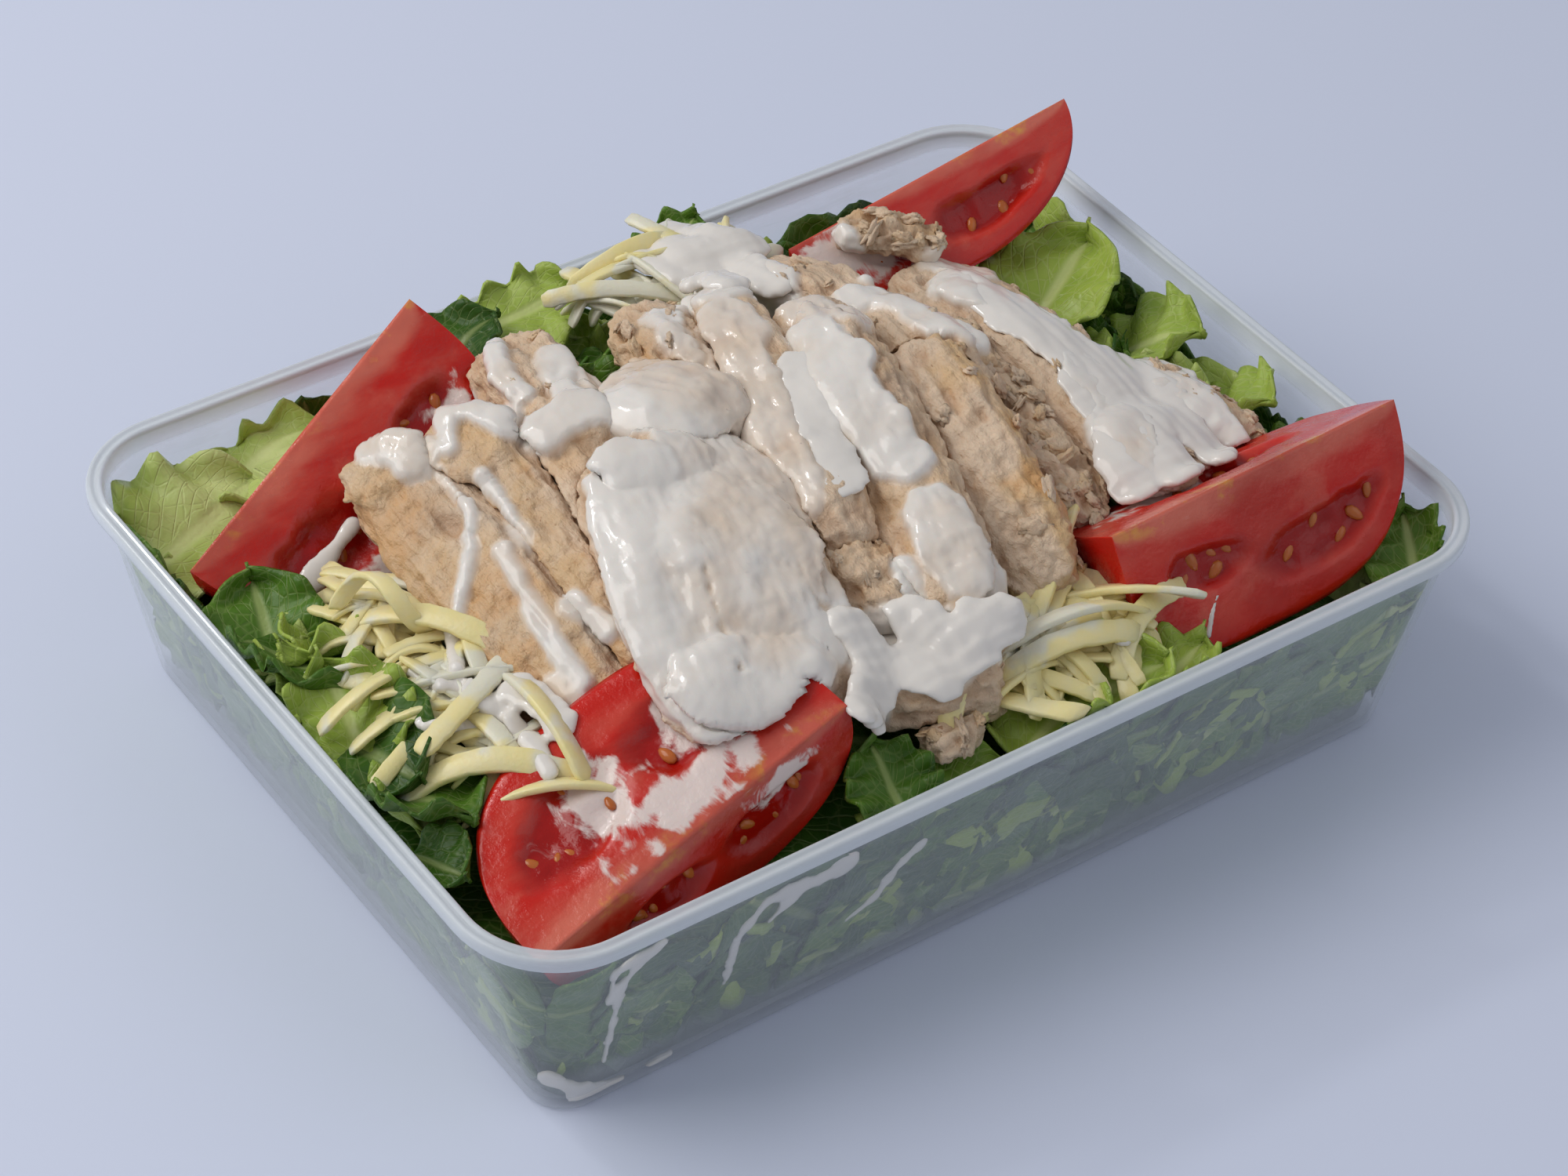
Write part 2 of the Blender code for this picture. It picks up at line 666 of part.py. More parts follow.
def add_leaves(core, toppings, vessel):
    """Each leaf is shortened and moved inwards until it fits, or else skipped."""
    chance = random.Random(PIECE_SEED)
    trees = [tree_of(toppings, GAP), tree_of([vessel], GAP)]
    wanted = [*LEAVES, *top_leaves(chance), *wall_leaves(chance)]
    pieces = []
    for place, yaw, pitch, roll, length, width in wanted:
        wave, phase = chance.uniform(0.5, 1.3), chance.uniform(0, 6.28)
        inwards = Vector((-place[0], -place[1], 0)).normalized()
        for step in range(LEAF_TRIES):
            scale = 1 - 0.08 * step
            bm = leaf(Vector(place) + inwards * 0.9 * step, math.radians(yaw), math.radians(pitch),
                      math.radians(roll), length * scale, width * scale, wave, phase)
            if fits(bm, trees, hidden_too=roll > 80):
                pieces.append(bm)
                break
            bm.free()
    fuse(core, pieces)


# Grated cheese: low mounds with strips laid over them

CHEESE = {
    "cheese_left": dict(centre=(-60, -8, 35.5), size=(8.5, 24, 4.5), strips=9),
    "cheese_right": dict(centre=(10, -42.5, 35.5), size=(17, 8, 4.5), strips=7),
    "cheese_back": dict(centre=(11, 44, 42), size=(14, 9, 5.5), strips=5),
}
STRIP_WIDTH = 2.6
STRIP_THICK = 1.3
STRIP_REACH = 5.5
STRIP_TRIES = 8


def cheese_mound(centre, size, strips):
    bm = bmesh.new()
    bmesh.ops.create_uvsphere(bm, u_segments=10, v_segments=6, radius=1.0)
    for vert in bm.verts:
        flat = spow(vert.co.z, 0.8)
        vert.co = Vector((vert.co.x * size[0], vert.co.y * size[1], flat * size[2])) + Vector(centre)
        vert.co += noise.noise_vector(vert.co / 6.0) * 0.8
    bmesh.ops.triangulate(bm, faces=bm.faces)
    return [bm]


def strip(place, yaw, tilt, length, bend):
    """One grated strip: a flat ribbon bent to an arc."""
    turn = Matrix.Rotation(yaw, 3, "Z") @ Matrix.Rotation(tilt, 3, "X")
    centre = Vector(place)
    radius = length / bend

    def shape(x, y):
        angle = x / radius
        rise = radius * (math.cos(angle) - 1) * 0.45
        sway = radius * (1 - math.cos(angle)) * 0.9
        return centre + turn @ Vector((radius * math.sin(angle), y + sway, rise))

    return ribbon(length, STRIP_WIDTH, STRIP_THICK, 4, 1, shape)


def add_strips(mound, centre, size, strips, blockers):
    chance = random.Random(PIECE_SEED + len(mound.name))
    tree = tree_of(blockers, GAP)
    top = tree_of([mound])
    pieces = []
    for attempt in range(strips * STRIP_TRIES):
        if len(pieces) >= strips:
            break
        turn, out = chance.uniform(0, 2 * math.pi), math.sqrt(chance.uniform(0.02, 0.95))
        x = centre[0] + size[0] * out * math.cos(turn)
        y = centre[1] + size[1] * out * math.sin(turn)
        spot = top.ray_cast(Vector((x, y, centre[2] + 20)), -UP)[0]
        if spot is None:
            continue
        bm = strip(spot + UP * 0.9, chance.uniform(0, math.pi), chance.uniform(-0.5, 0.5),
                   chance.uniform(10, 20), chance.uniform(0.5, 1.8))
        near = all(abs(vert.co[axis] - centre[axis]) < size[axis] + STRIP_REACH
                   for vert in bm.verts for axis in range(2))
        if near and fits(bm, [tree], hidden_too=True):
            pieces.append(bm)
        else:
            bm.free()
    fuse(mound, pieces)


def build():
    clear_scene()
    noise.seed_set(PIECE_SEED)
    parts = collection("chicken_caesar_salad")
    cutters = collection("cutters", hidden=True)
    clear = material("clear_plastic", (0.86, 0.88, 0.93), 0.12, alpha=0.3)
    red = material("tomato", (0.55, 0.03, 0.02), 0.25)
    meat = material("chicken", (0.80, 0.62, 0.48), 0.5)
    green = material("lettuce", (0.20, 0.36, 0.06), 0.45)
    yellow = material("cheese", (0.86, 0.76, 0.42), 0.45)

    vessel_shape = tub()
    before = [grown("tub", vessel_shape, cutters)]
    vessel = new_object("tub", vessel_shape, parts, clear)

    def topping(name, shapes, mat):
        """Join a topping's shapes and cut it back from those made before it."""
        own = [grown(name, shape, cutters) for shape in shapes]
        piece = new_object(name, shapes[0], parts, mat)
        if len(shapes) > 1:
            fuse(piece, shapes[1:])
        cut_back(piece, before)
        before.extend(own)
        return piece

    toppings = [topping(name, wedge(**sizes), red) for name, sizes in WEDGES.items()]
    for seed, (name, sizes) in enumerate(SLICES.items()):
        toppings.append(topping(name, slab(seed, **sizes), meat))
    mounds = [topping(name, cheese_mound(**sizes), yellow) for name, sizes in CHEESE.items()]
    core = lettuce_core(parts, green)
    cut_back(core, before[1:])
    for obj in toppings + mounds + [core]:
        simplify(obj)
    add_leaves(core, toppings + mounds, vessel)
    for mound, sizes in zip(mounds, CHEESE.values()):
        others = [other for other in mounds if other is not mound]
        add_strips(mound, **sizes, blockers=toppings + others + [core, vessel])
    for obj in [vessel, core] + toppings + mounds:
        finish(obj)
    for cutter in before:
        bpy.data.objects.remove(cutter, do_unlink=True)
    bpy.data.collections.remove(cutters)


build()
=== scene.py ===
"""Chicken caesar salad in a clear takeaway tub.

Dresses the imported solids: clear plastic tub, tomato wedges with seeds, sliced chicken under
creamy dressing, grated cheese and torn romaine leaves. Lengths in the shape functions are in
millimetres and become metres when a mesh is stored.
"""
import math
import random

import bmesh
import bpy
import numpy as np
from bpy.props import FloatProperty, FloatVectorProperty, PointerProperty
from bpy.types import Operator, Panel, PropertyGroup
from mathutils import Euler, Matrix, Vector
from mathutils.bvhtree import BVHTree


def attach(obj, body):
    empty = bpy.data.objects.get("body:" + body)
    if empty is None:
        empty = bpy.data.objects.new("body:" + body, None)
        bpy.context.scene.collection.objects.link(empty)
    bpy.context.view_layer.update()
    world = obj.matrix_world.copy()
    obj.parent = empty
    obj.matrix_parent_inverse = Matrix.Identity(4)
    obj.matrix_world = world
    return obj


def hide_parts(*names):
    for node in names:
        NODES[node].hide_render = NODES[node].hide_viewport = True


bl_info = {
    "name": "Caesar Salad Tub",
    "version": (1, 0, 0),
    "blender": (4, 5, 0),
    "location": "View3D > Sidebar > Salad",
    "description": "Builds a chicken caesar salad in a clear takeaway tub",
    "category": "Object",
}

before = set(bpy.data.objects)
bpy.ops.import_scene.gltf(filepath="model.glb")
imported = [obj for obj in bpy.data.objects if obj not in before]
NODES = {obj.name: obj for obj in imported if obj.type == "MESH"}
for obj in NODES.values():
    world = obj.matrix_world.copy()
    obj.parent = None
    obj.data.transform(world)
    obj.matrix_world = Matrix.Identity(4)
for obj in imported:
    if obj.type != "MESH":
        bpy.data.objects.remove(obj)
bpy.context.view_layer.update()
MM = 0.001
BODY = "root"
SEED = 7
UP = Vector((0, 0, 1))
FOOD = ("chicken", "tomato", "cheese", "lettuce")
# Parts with fewer faces than this are specks
SPECK_FACES = 40


# Camera and stage values

CAMERA_PLACE = (-0.28490, -0.36499, 0.42687)
CAMERA_RIGHT = (0.81422, -0.57805, 0.05398)
CAMERA_UP = (0.34990, 0.56278, 0.74890)
CAMERA_BACK = (-0.46327, -0.59088, 0.66049)
FOCAL_PIXELS = 5318.0
IMAGE_WIDTH = 2000.0
SENSOR_WIDTH = 36.0
CLIP_START = 0.01
# Half side and level of the floor, in millimetres
FLOOR_SIDE = 1500.0
FLOOR_LEVEL = -0.05
# Lamps: place, size in metres and colour; the power of each is a setting of its name
LAMPS = {
    "key": ((-0.66, 0.45, 0.80), 0.85, (1.0, 0.98, 0.95)),
    "glint": ((-0.35, 0.75, 0.75), 0.09, (1.0, 1.0, 1.0)),
    "fill": ((0.5, -0.7, 0.7), 0.9, (0.95, 0.97, 1.0)),
}


# Smooth random fields on arrays of points

def lattice(cells, seed):
    """One steady random number from 0 to 1 for each whole-number cell."""
    x, y, z = (cells[:, axis].astype(np.float64) for axis in range(3))
    value = np.sin(x * 127.1 + y * 311.7 + z * 74.7 + seed * 19.19) * 43758.5453
    return value - np.floor(value)


def field(points, scale, seed=0):
    """Smooth noise from -1 to 1 with lumps of about the given size."""
    spots = np.asarray(points, np.float64) / scale
    cells = np.floor(spots)
    part = spots - cells
    part = part * part * (3 - 2 * part)
    total = np.zeros(len(spots))
    for corner in np.ndindex(2, 2, 2):
        weight = np.ones(len(spots))
        for axis in range(3):
            share = part[:, axis]
            weight *= share if corner[axis] else 1 - share
        total += weight * lattice(cells + np.array(corner), seed)
    return total * 2 - 1


def rough_field(points, scale, seed=0, octaves=3):
    """Sum of noise at halving sizes, from about -1 to 1."""
    total, strength, norm = 0, 1.0, 0
    for octave in range(octaves):
        total = total + strength * field(points, scale / 2 ** octave, seed + octave * 17)
        norm += strength
        strength *= 0.5
    return total / norm


def smooth_step(low, high, value):
    share = np.clip((value - low) / (high - low), 0, 1)
    return share * share * (3 - 2 * share)


def mix(low, high, share):
    return low + (high - low) * share


# Meshes

def linked(name, data):
    """New object in the scene, with a mesh, a camera or a lamp."""
    obj = bpy.data.objects.new(name, data)
    bpy.context.scene.collection.objects.link(obj)
    return obj


def from_bmesh(name, bm):
    """New object from a bmesh in metres, which is freed."""
    mesh = bpy.data.meshes.new(name)
    bm.to_mesh(mesh)
    bm.free()
    return linked(name, mesh)


def discard(objects):
    for obj in objects:
        bpy.data.objects.remove(obj, do_unlink=True)


def store(name, verts, faces, mat, uvs=None, values=None, smooth=True):
    """New object from arrays in millimetres, with UVs and point attributes."""
    mesh = bpy.data.meshes.new(name)
    mesh.from_pydata((np.asarray(verts) * MM).tolist(), [], [list(face) for face in faces])
    mesh.update()
    if uvs is not None:
        layer = mesh.uv_layers.new(name="surface")
        corners = np.zeros(len(mesh.loops), np.int32)
        mesh.loops.foreach_get("vertex_index", corners)
        layer.data.foreach_set("uv", np.asarray(uvs, np.float32)[corners].ravel())
    for key, value in (values or {}).items():
        set_value(mesh, key, value)
    if smooth:
        mesh.shade_smooth()
    if mat:
        mesh.materials.append(mat)
    return linked(name, mesh)


def grid_faces(rows, columns, closed=False, start=0):
    """Quads between rows of points; closed joins each row's last point to its first."""
    faces = []
    last = columns if closed else columns - 1
    for row in range(rows - 1):
        for column in range(last):
            after = (column + 1) % columns
            low, high = start + row * columns, start + (row + 1) * columns
            faces.append((low + column, low + after, high + after, high + column))
    return faces


def mesh_arrays(mesh):
    """Points and normals of a mesh, points in millimetres."""
    points = np.zeros(len(mesh.vertices) * 3)
    mesh.vertices.foreach_get("co", points)
    normals = np.zeros(len(mesh.vertices) * 3)
    mesh.vertices.foreach_get("normal", normals)
    return points.reshape(-1, 3) / MM, normals.reshape(-1, 3)


def set_points(mesh, points):
    mesh.vertices.foreach_set("co", (np.asarray(points) * MM).ravel())
    mesh.update()


def set_value(mesh, key, value):
    attribute = mesh.attributes.new(key, "FLOAT", "POINT")
    attribute.data.foreach_set("value", np.asarray(value, np.float32))


def baked(obj):
    """The object's modifiers applied to its mesh."""
    evaluated = obj.evaluated_get(bpy.context.evaluated_depsgraph_get())
    mesh = bpy.data.meshes.new_from_object(evaluated)
    obj.modifiers.clear()
    old = obj.data
    obj.data = mesh
    bpy.data.meshes.remove(old)
    return mesh


def without_specks(mesh):
    """The mesh without parts of only a few faces, which a voxel remesh can leave behind."""
    bm = bmesh.new()
    bm.from_mesh(mesh)
    seen, specks = set(), []
    for start in bm.faces:
        if start in seen:
            continue
        seen.add(start)
        part = [start]
        for face in part:
            for edge in face.edges:
                for other in edge.link_faces:
                    if other not in seen:
                        seen.add(other)
                        part.append(other)
        if len(part) < SPECK_FACES:
            specks += part
    bmesh.ops.delete(bm, geom=specks, context="FACES")
    bm.to_mesh(mesh)
    bm.free()


def remeshed(name, bm, voxel, rounds):
    """A bmesh in metres as an even, smoothed mesh on a new object."""
    obj = from_bmesh(name, bm)
    remesh = obj.modifiers.new("even", "REMESH")
    remesh.mode = "VOXEL"
    remesh.voxel_size = voxel * MM
    relax = obj.modifiers.new("relax", "SMOOTH")
    relax.factor = 0.5
    relax.iterations = rounds
    baked(obj)
    without_specks(obj.data)
    obj.data.shade_smooth()
    return obj


def set_material(obj, mat):
    obj.data.materials.clear()
    obj.data.materials.append(mat)


def faced_out(mesh):
    """All faces turned outwards."""
    bm = bmesh.new()
    bm.from_mesh(mesh)
    bmesh.ops.recalc_face_normals(bm, faces=bm.faces)
    bm.to_mesh(mesh)
    bm.free()


def solid_copy(node):
    """Closed bmesh of a CAD node, in metres."""
    bm = bmesh.new()
    bm.from_mesh(NODES[node].data)
    bmesh.ops.remove_doubles(bm, verts=bm.verts, dist=0.002 * MM)
    bmesh.ops.recalc_face_normals(bm, faces=bm.faces)
    return bm


def tree_of(*kinds):
    """Search tree over the CAD nodes whose names start with one of the kinds, in millimetres."""
    verts, faces = [], []
    for node in NODES:
        if not node.startswith(kinds):
            continue
        mesh = NODES[node].data
        mesh.calc_loop_triangles()
        base = len(verts)
        verts += [vert.co / MM for vert in mesh.vertices]
        faces += [[base + index for index in face.vertices] for face in mesh.loop_triangles]
    return BVHTree.FromPolygons(verts, faces)


def hand_over(obj, slot, *nodes):
    """Ride on the tub and stand for the nodes, which are hidden. The slot is not used."""
    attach(obj, BODY)
    if nodes:
        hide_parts(*nodes)
    return obj


# Materials

def feed(tree, socket, value):
    """Link the socket to an output, or set it to a constant."""
    if isinstance(value, bpy.types.NodeSocket):
        tree.links.new(value, socket)
    else:
        socket.default_value = value


def new_node(tree, kind, inputs=None, **settings):
    """Outputs of a new node, whose inputs are linked or set."""
    node = tree.nodes.new(kind)
    for key, value in settings.items():
        setattr(node, key, value)
    for key, value in (inputs or {}).items():
        feed(tree, node.inputs[key], value)
    return node.outputs


class Shading:
    """Short way to write a material's nodes."""

    def __init__(self, name):
        self.mat = bpy.data.materials.new(name)
        self.mat.use_nodes = True
        self.tree = self.mat.node_tree
        self.shader = self.tree.nodes["Principled BSDF"]
        self.object_coords = self.add("TexCoord", "Object")

    def add(self, kind, output, inputs=None, **settings):
        """One output of a new shader node."""
        return new_node(self.tree, "ShaderNode" + kind, inputs, **settings)[output]

    def put(self, **values):
        """Set or link the shader's own sockets; underscores stand for spaces."""
        for key, value in values.items():
            feed(self.tree, self.shader.inputs[key.replace("_", " ")], value)

    def glow(self, weight, radius):
        """Light that spreads under the surface."""
        self.put(Subsurface_Weight=weight, Subsurface_Radius=radius, Subsurface_Scale=0.5)

    def noise(self, scale, detail=3.0, rough=0.55, vector=None, warp=0.0):
        return self.add("TexNoise", "Fac", {
            "Vector": vector or self.object_coords, "Scale": scale, "Detail": detail,
            "Roughness": rough, "Distortion": warp})

    def cell_edges(self, scale):
        """Distance to the walls between cells."""
        return self.add("TexVoronoi", "Distance", {"Vector": self.object_coords, "Scale": scale},
                        feature="DISTANCE_TO_EDGE")

    def stretch(self, scale, turn=(0, 0, 0)):
        return self.add("Mapping", "Vector", {
            "Vector": self.object_coords, "Scale": scale, "Rotation": turn})

    def value(self, key):
        return self.add("Attribute", "Fac", attribute_name=key)

    def uv(self, axis):
        """One axis of the surface's own map, X or Y."""
        return self.add("SeparateXYZ", axis, {0: self.add("UVMap", "UV", uv_map="surface")})

    def band(self, source, low, high, out_low=0.0, out_high=1.0):
        """Smooth change of a value between two limits."""
        return self.add("MapRange", "Result", {
            "Value": source, "From Min": low, "From Max": high,
            "To Min": out_low, "To Max": out_high}, interpolation_type="SMOOTHSTEP")

    def calc(self, operation, first, second=0.0):
        return self.add("Math", 0, {0: first, 1: second}, operation=operation)

    def plus(self, first, second):
        return self.calc("ADD", first, second)

    def times(self, first, second):
        return self.calc("MULTIPLY", first, second)

    def blend(self, share, first, second):
        inputs = {"Factor": share}
        for slot, colour in ((6, first), (7, second)):
            is_socket = isinstance(colour, bpy.types.NodeSocket)
            inputs[slot] = colour if is_socket else (*colour, 1.0)
        return self.add("Mix", 2, inputs, data_type="RGBA")

    def layers(self, base, *coats):
        """Colours laid over a base one after another, each with its share."""
        for share, colour in coats:
            base = self.blend(share, base, colour)
        return base

    def bump(self, height, strength, distance, normal=None):
        inputs = {"Height": height, "Strength": strength, "Distance": distance * MM}
        if normal:
            inputs["Normal"] = normal
        return self.add("Bump", "Normal", inputs)


def scaled(colour, factor):
    """The colour, darker or brighter."""
    return tuple(min(1, part * factor) for part in colour)


def between(first, second, share):
    """A colour part of the way from the first to the second."""
    return tuple(mix(a, b, share) for a, b in zip(first, second))


# Settings that a user would change

def length_prop(name, default, description):
    return FloatProperty(name=name, default=default, description=description, unit="LENGTH", min=0)


def colour_prop(name, default, description):
    return FloatVectorProperty(name=name, default=default, description=description,
                               subtype="COLOR", size=3, min=0, max=1)


class SALAD_PG_tub(PropertyGroup):
    rim_length: length_prop("Rim length", 0.172, "Outer length of the rim")
    rim_depth: length_prop("Rim depth", 0.126, "Outer depth of the rim")
    height: length_prop("Height", 0.038, "Height of the rim over the table")
    base_length: length_prop("Base length", 0.152, "Length of the flat base")
    base_depth: length_prop("Base depth", 0.1115, "Depth of the flat base")
    wall: length_prop("Wall", 0.0007, "Thickness of the plastic")
    colour: colour_prop("Plastic", (0.80, 0.845, 0.875), "Tint of the clear plastic")
    haze: FloatProperty(name="Haze", default=0.13, min=0, max=1, subtype="FACTOR",
                        description="How milky the wall looks straight on")


class SALAD_PG_tomato(PropertyGroup):
    skin: colour_prop("Skin", (0.52, 0.012, 0.006), "Glossy outer skin")
    flesh: colour_prop("Flesh", (0.62, 0.014, 0.006), "Cut flesh")
    core: colour_prop("Core", (0.74, 0.17, 0.11), "Pale flesh along the ridge")
    jelly: colour_prop("Jelly", (0.30, 0.004, 0.002), "Jelly round the seeds")
    seed: colour_prop("Seed", (0.58, 0.20, 0.035), "Seeds")
    seed_length: length_prop("Seed length", 0.0030, "Length of one seed")


class SALAD_PG_chicken(PropertyGroup):
    flesh: colour_prop("Flesh", (0.74, 0.56, 0.395), "Cooked breast meat")
    tan: colour_prop("Tan", (0.70, 0.45, 0.21), "Lightly browned outside")
    brown: colour_prop("Brown", (0.30, 0.13, 0.05), "Well browned spots")
    voxel: length_prop("Detail", 0.00045, "Mesh size of the meat")
    fibre: length_prop("Fibre", 0.0009, "Depth of the torn fibres")


class SALAD_PG_dressing(PropertyGroup):
    colour: colour_prop("Dressing", (0.85, 0.80, 0.735), "Creamy dressing")
    thickness: length_prop("Thickness", 0.0010, "Thickness of the coat on the meat")
    voxel: length_prop("Detail", 0.00045, "Mesh size of drips and pools")


class SALAD_PG_lettuce(PropertyGroup):
    dark: colour_prop("Dark leaf", (0.024, 0.080, 0.006), "Outer romaine leaf")
    middle: colour_prop("Green leaf", (0.095, 0.205, 0.017), "Usual leaf")
    lime: colour_prop("Lime leaf", (0.36, 0.48, 0.075), "Light frilly leaf")
    pale: colour_prop("Pale leaf", (0.60, 0.66, 0.27), "Heart leaf and ribs")
    thickness: length_prop("Thickness", 0.0005, "Thickness of a leaf")


class SALAD_PG_cheese(PropertyGroup):
    colour: colour_prop("Cheese", (0.90, 0.77, 0.36), "Grated cheese")
    width: length_prop("Shred width", 0.0029, "Width of a shred")
    thickness: length_prop("Shred thickness", 0.0010, "Thickness of a shred")


class SALAD_PG_stage(PropertyGroup):
    floor: colour_prop("Floor", (0.73, 0.78, 0.935), "Pale table")
    key: FloatProperty(name="Key light", default=6.5, min=0,
                       description="Power of the main lamp in watts")
    fill: FloatProperty(name="Fill light", default=1.0, min=0,
                        description="Power of the fill lamp in watts")
    glint: FloatProperty(name="Glint light", default=1.1, min=0,
                         description="Power of the small lamp behind, in watts")
    sky: FloatProperty(name="Sky", default=0.36, min=0, description="Brightness of the room")


# Stage

class SALAD_OT_stage(Operator):
    """Camera at the photograph's view, pale floor and soft studio light"""
    bl_idname = "salad.stage"
    bl_label = "Stage"

    def execute(self, context):
        settings = context.scene.salad_stage
        scene = context.scene
        data = bpy.data.cameras.new("camera")
        data.sensor_width = SENSOR_WIDTH
        data.lens = FOCAL_PIXELS / IMAGE_WIDTH * SENSOR_WIDTH
        data.clip_start = CLIP_START
        camera = linked("camera", data)
        turn = Matrix((CAMERA_RIGHT, CAMERA_UP, CAMERA_BACK)).transposed().to_4x4()
        camera.matrix_world = Matrix.Translation(CAMERA_PLACE) @ turn
        scene.camera = camera

        shading = Shading("table")
        shading.put(Base_Color=shading.blend(shading.noise(3.0), scaled(settings.floor, 0.97),
                                             settings.floor), Roughness=0.6)
        corners = [(x * FLOOR_SIDE, y * FLOOR_SIDE, FLOOR_LEVEL)
                   for x, y in ((-1, -1), (1, -1), (1, 1), (-1, 1))]
        floor = store("floor", corners, [(0, 1, 2, 3)], shading.mat, smooth=False)

        world = bpy.data.worlds.new("room")
        world.use_nodes = True
        background = world.node_tree.nodes["Background"]
        background.inputs["Color"].default_value = (0.86, 0.90, 1.0, 1.0)
        background.inputs["Strength"].default_value = settings.sky
        scene.world = world
        scene.view_settings.view_transform = "Standard"
        for name, lamp in LAMPS.items():
            self.lamp(name, getattr(settings, name), *lamp)
        return {"FINISHED"}

    def lamp(self, name, power, place, size, colour):
        data = bpy.data.lights.new(name, "AREA")
        data.energy = power
        data.size = size
        data.color = colour
        lamp = linked(name, data)
        lamp.location = place
        aim = Vector((0, 0, 0.03)) - Vector(place)
        lamp.rotation_euler = aim.to_track_quat("-Z", "Y").to_euler()


# Tub

RIM_CORNER = 15.5
BASE_CORNER = 6.5
BASE_EDGE = 1.2
RIM_WIDTH = 2.4
CORNER_STEPS = 14


def rounded_rectangle(length, depth, radius, height):
    points = []
    for quarter in range(4):
        sx = 1 if quarter in (0, 3) else -1
        sy = 1 if quarter in (0, 1) else -1
        for step in range(CORNER_STEPS + 1):
            angle = (quarter + step / CORNER_STEPS) * math.pi / 2
            points.append((sx * (length / 2 - radius) + radius * math.cos(angle),
                           sy * (depth / 2 - radius) + radius * math.sin(angle), height))
    return points


def wall_section(tub, height, inset=0.0):
    """Length, depth and corner radius of the wall's outside at a height, in millimetres."""
    wall, top = tub.wall / MM, tub.height / MM
    share = (height - BASE_EDGE) / (top - BASE_EDGE)
    length = mix(tub.base_length / MM, tub.rim_length / MM - 2 * RIM_WIDTH + 2 * wall, share)
    depth = mix(tub.base_depth / MM, tub.rim_depth / MM - 2 * RIM_WIDTH + 2 * wall, share)
    radius = mix(BASE_CORNER, RIM_CORNER - RIM_WIDTH, share)
    return length - 2 * inset, depth - 2 * inset, max(radius - inset, 1.0)


def kept_inside(points, tub, inset):
    """Points moved just far enough in to stay within the tub's walls."""
    points = points.copy()
    points[:, 2] = np.maximum(points[:, 2], inset + 0.3)
    height = np.clip(points[:, 2], BASE_EDGE, tub.height / MM)
    ends = [wall_section(tub, level, inset) for level in (BASE_EDGE, tub.height / MM)]
    length, depth, radius = np.array(ends).T
    share = (height - BASE_EDGE) / (tub.height / MM - BASE_EDGE)
    half_x, half_y, corner = (mix(low, high, share)
                              for low, high in (length / 2, depth / 2, radius))
    points[:, 0] = np.clip(points[:, 0], -half_x, half_x)
    points[:, 1] = np.clip(points[:, 1], -half_y, half_y)
    over_x = np.abs(points[:, 0]) - (half_x - corner)
    over_y = np.abs(points[:, 1]) - (half_y - corner)
    away = np.hypot(over_x, over_y)
    outside = (over_x > 0) & (over_y > 0) & (away > corner)
    pull = np.where(outside, corner / np.maximum(away, 0.001), 1)
    for axis, over, half in ((0, over_x, half_x), (1, over_y, half_y)):
        moved = np.copysign(half - corner + over * pull, points[:, axis])
        points[:, axis] = np.where(outside, moved, points[:, axis])
    return points


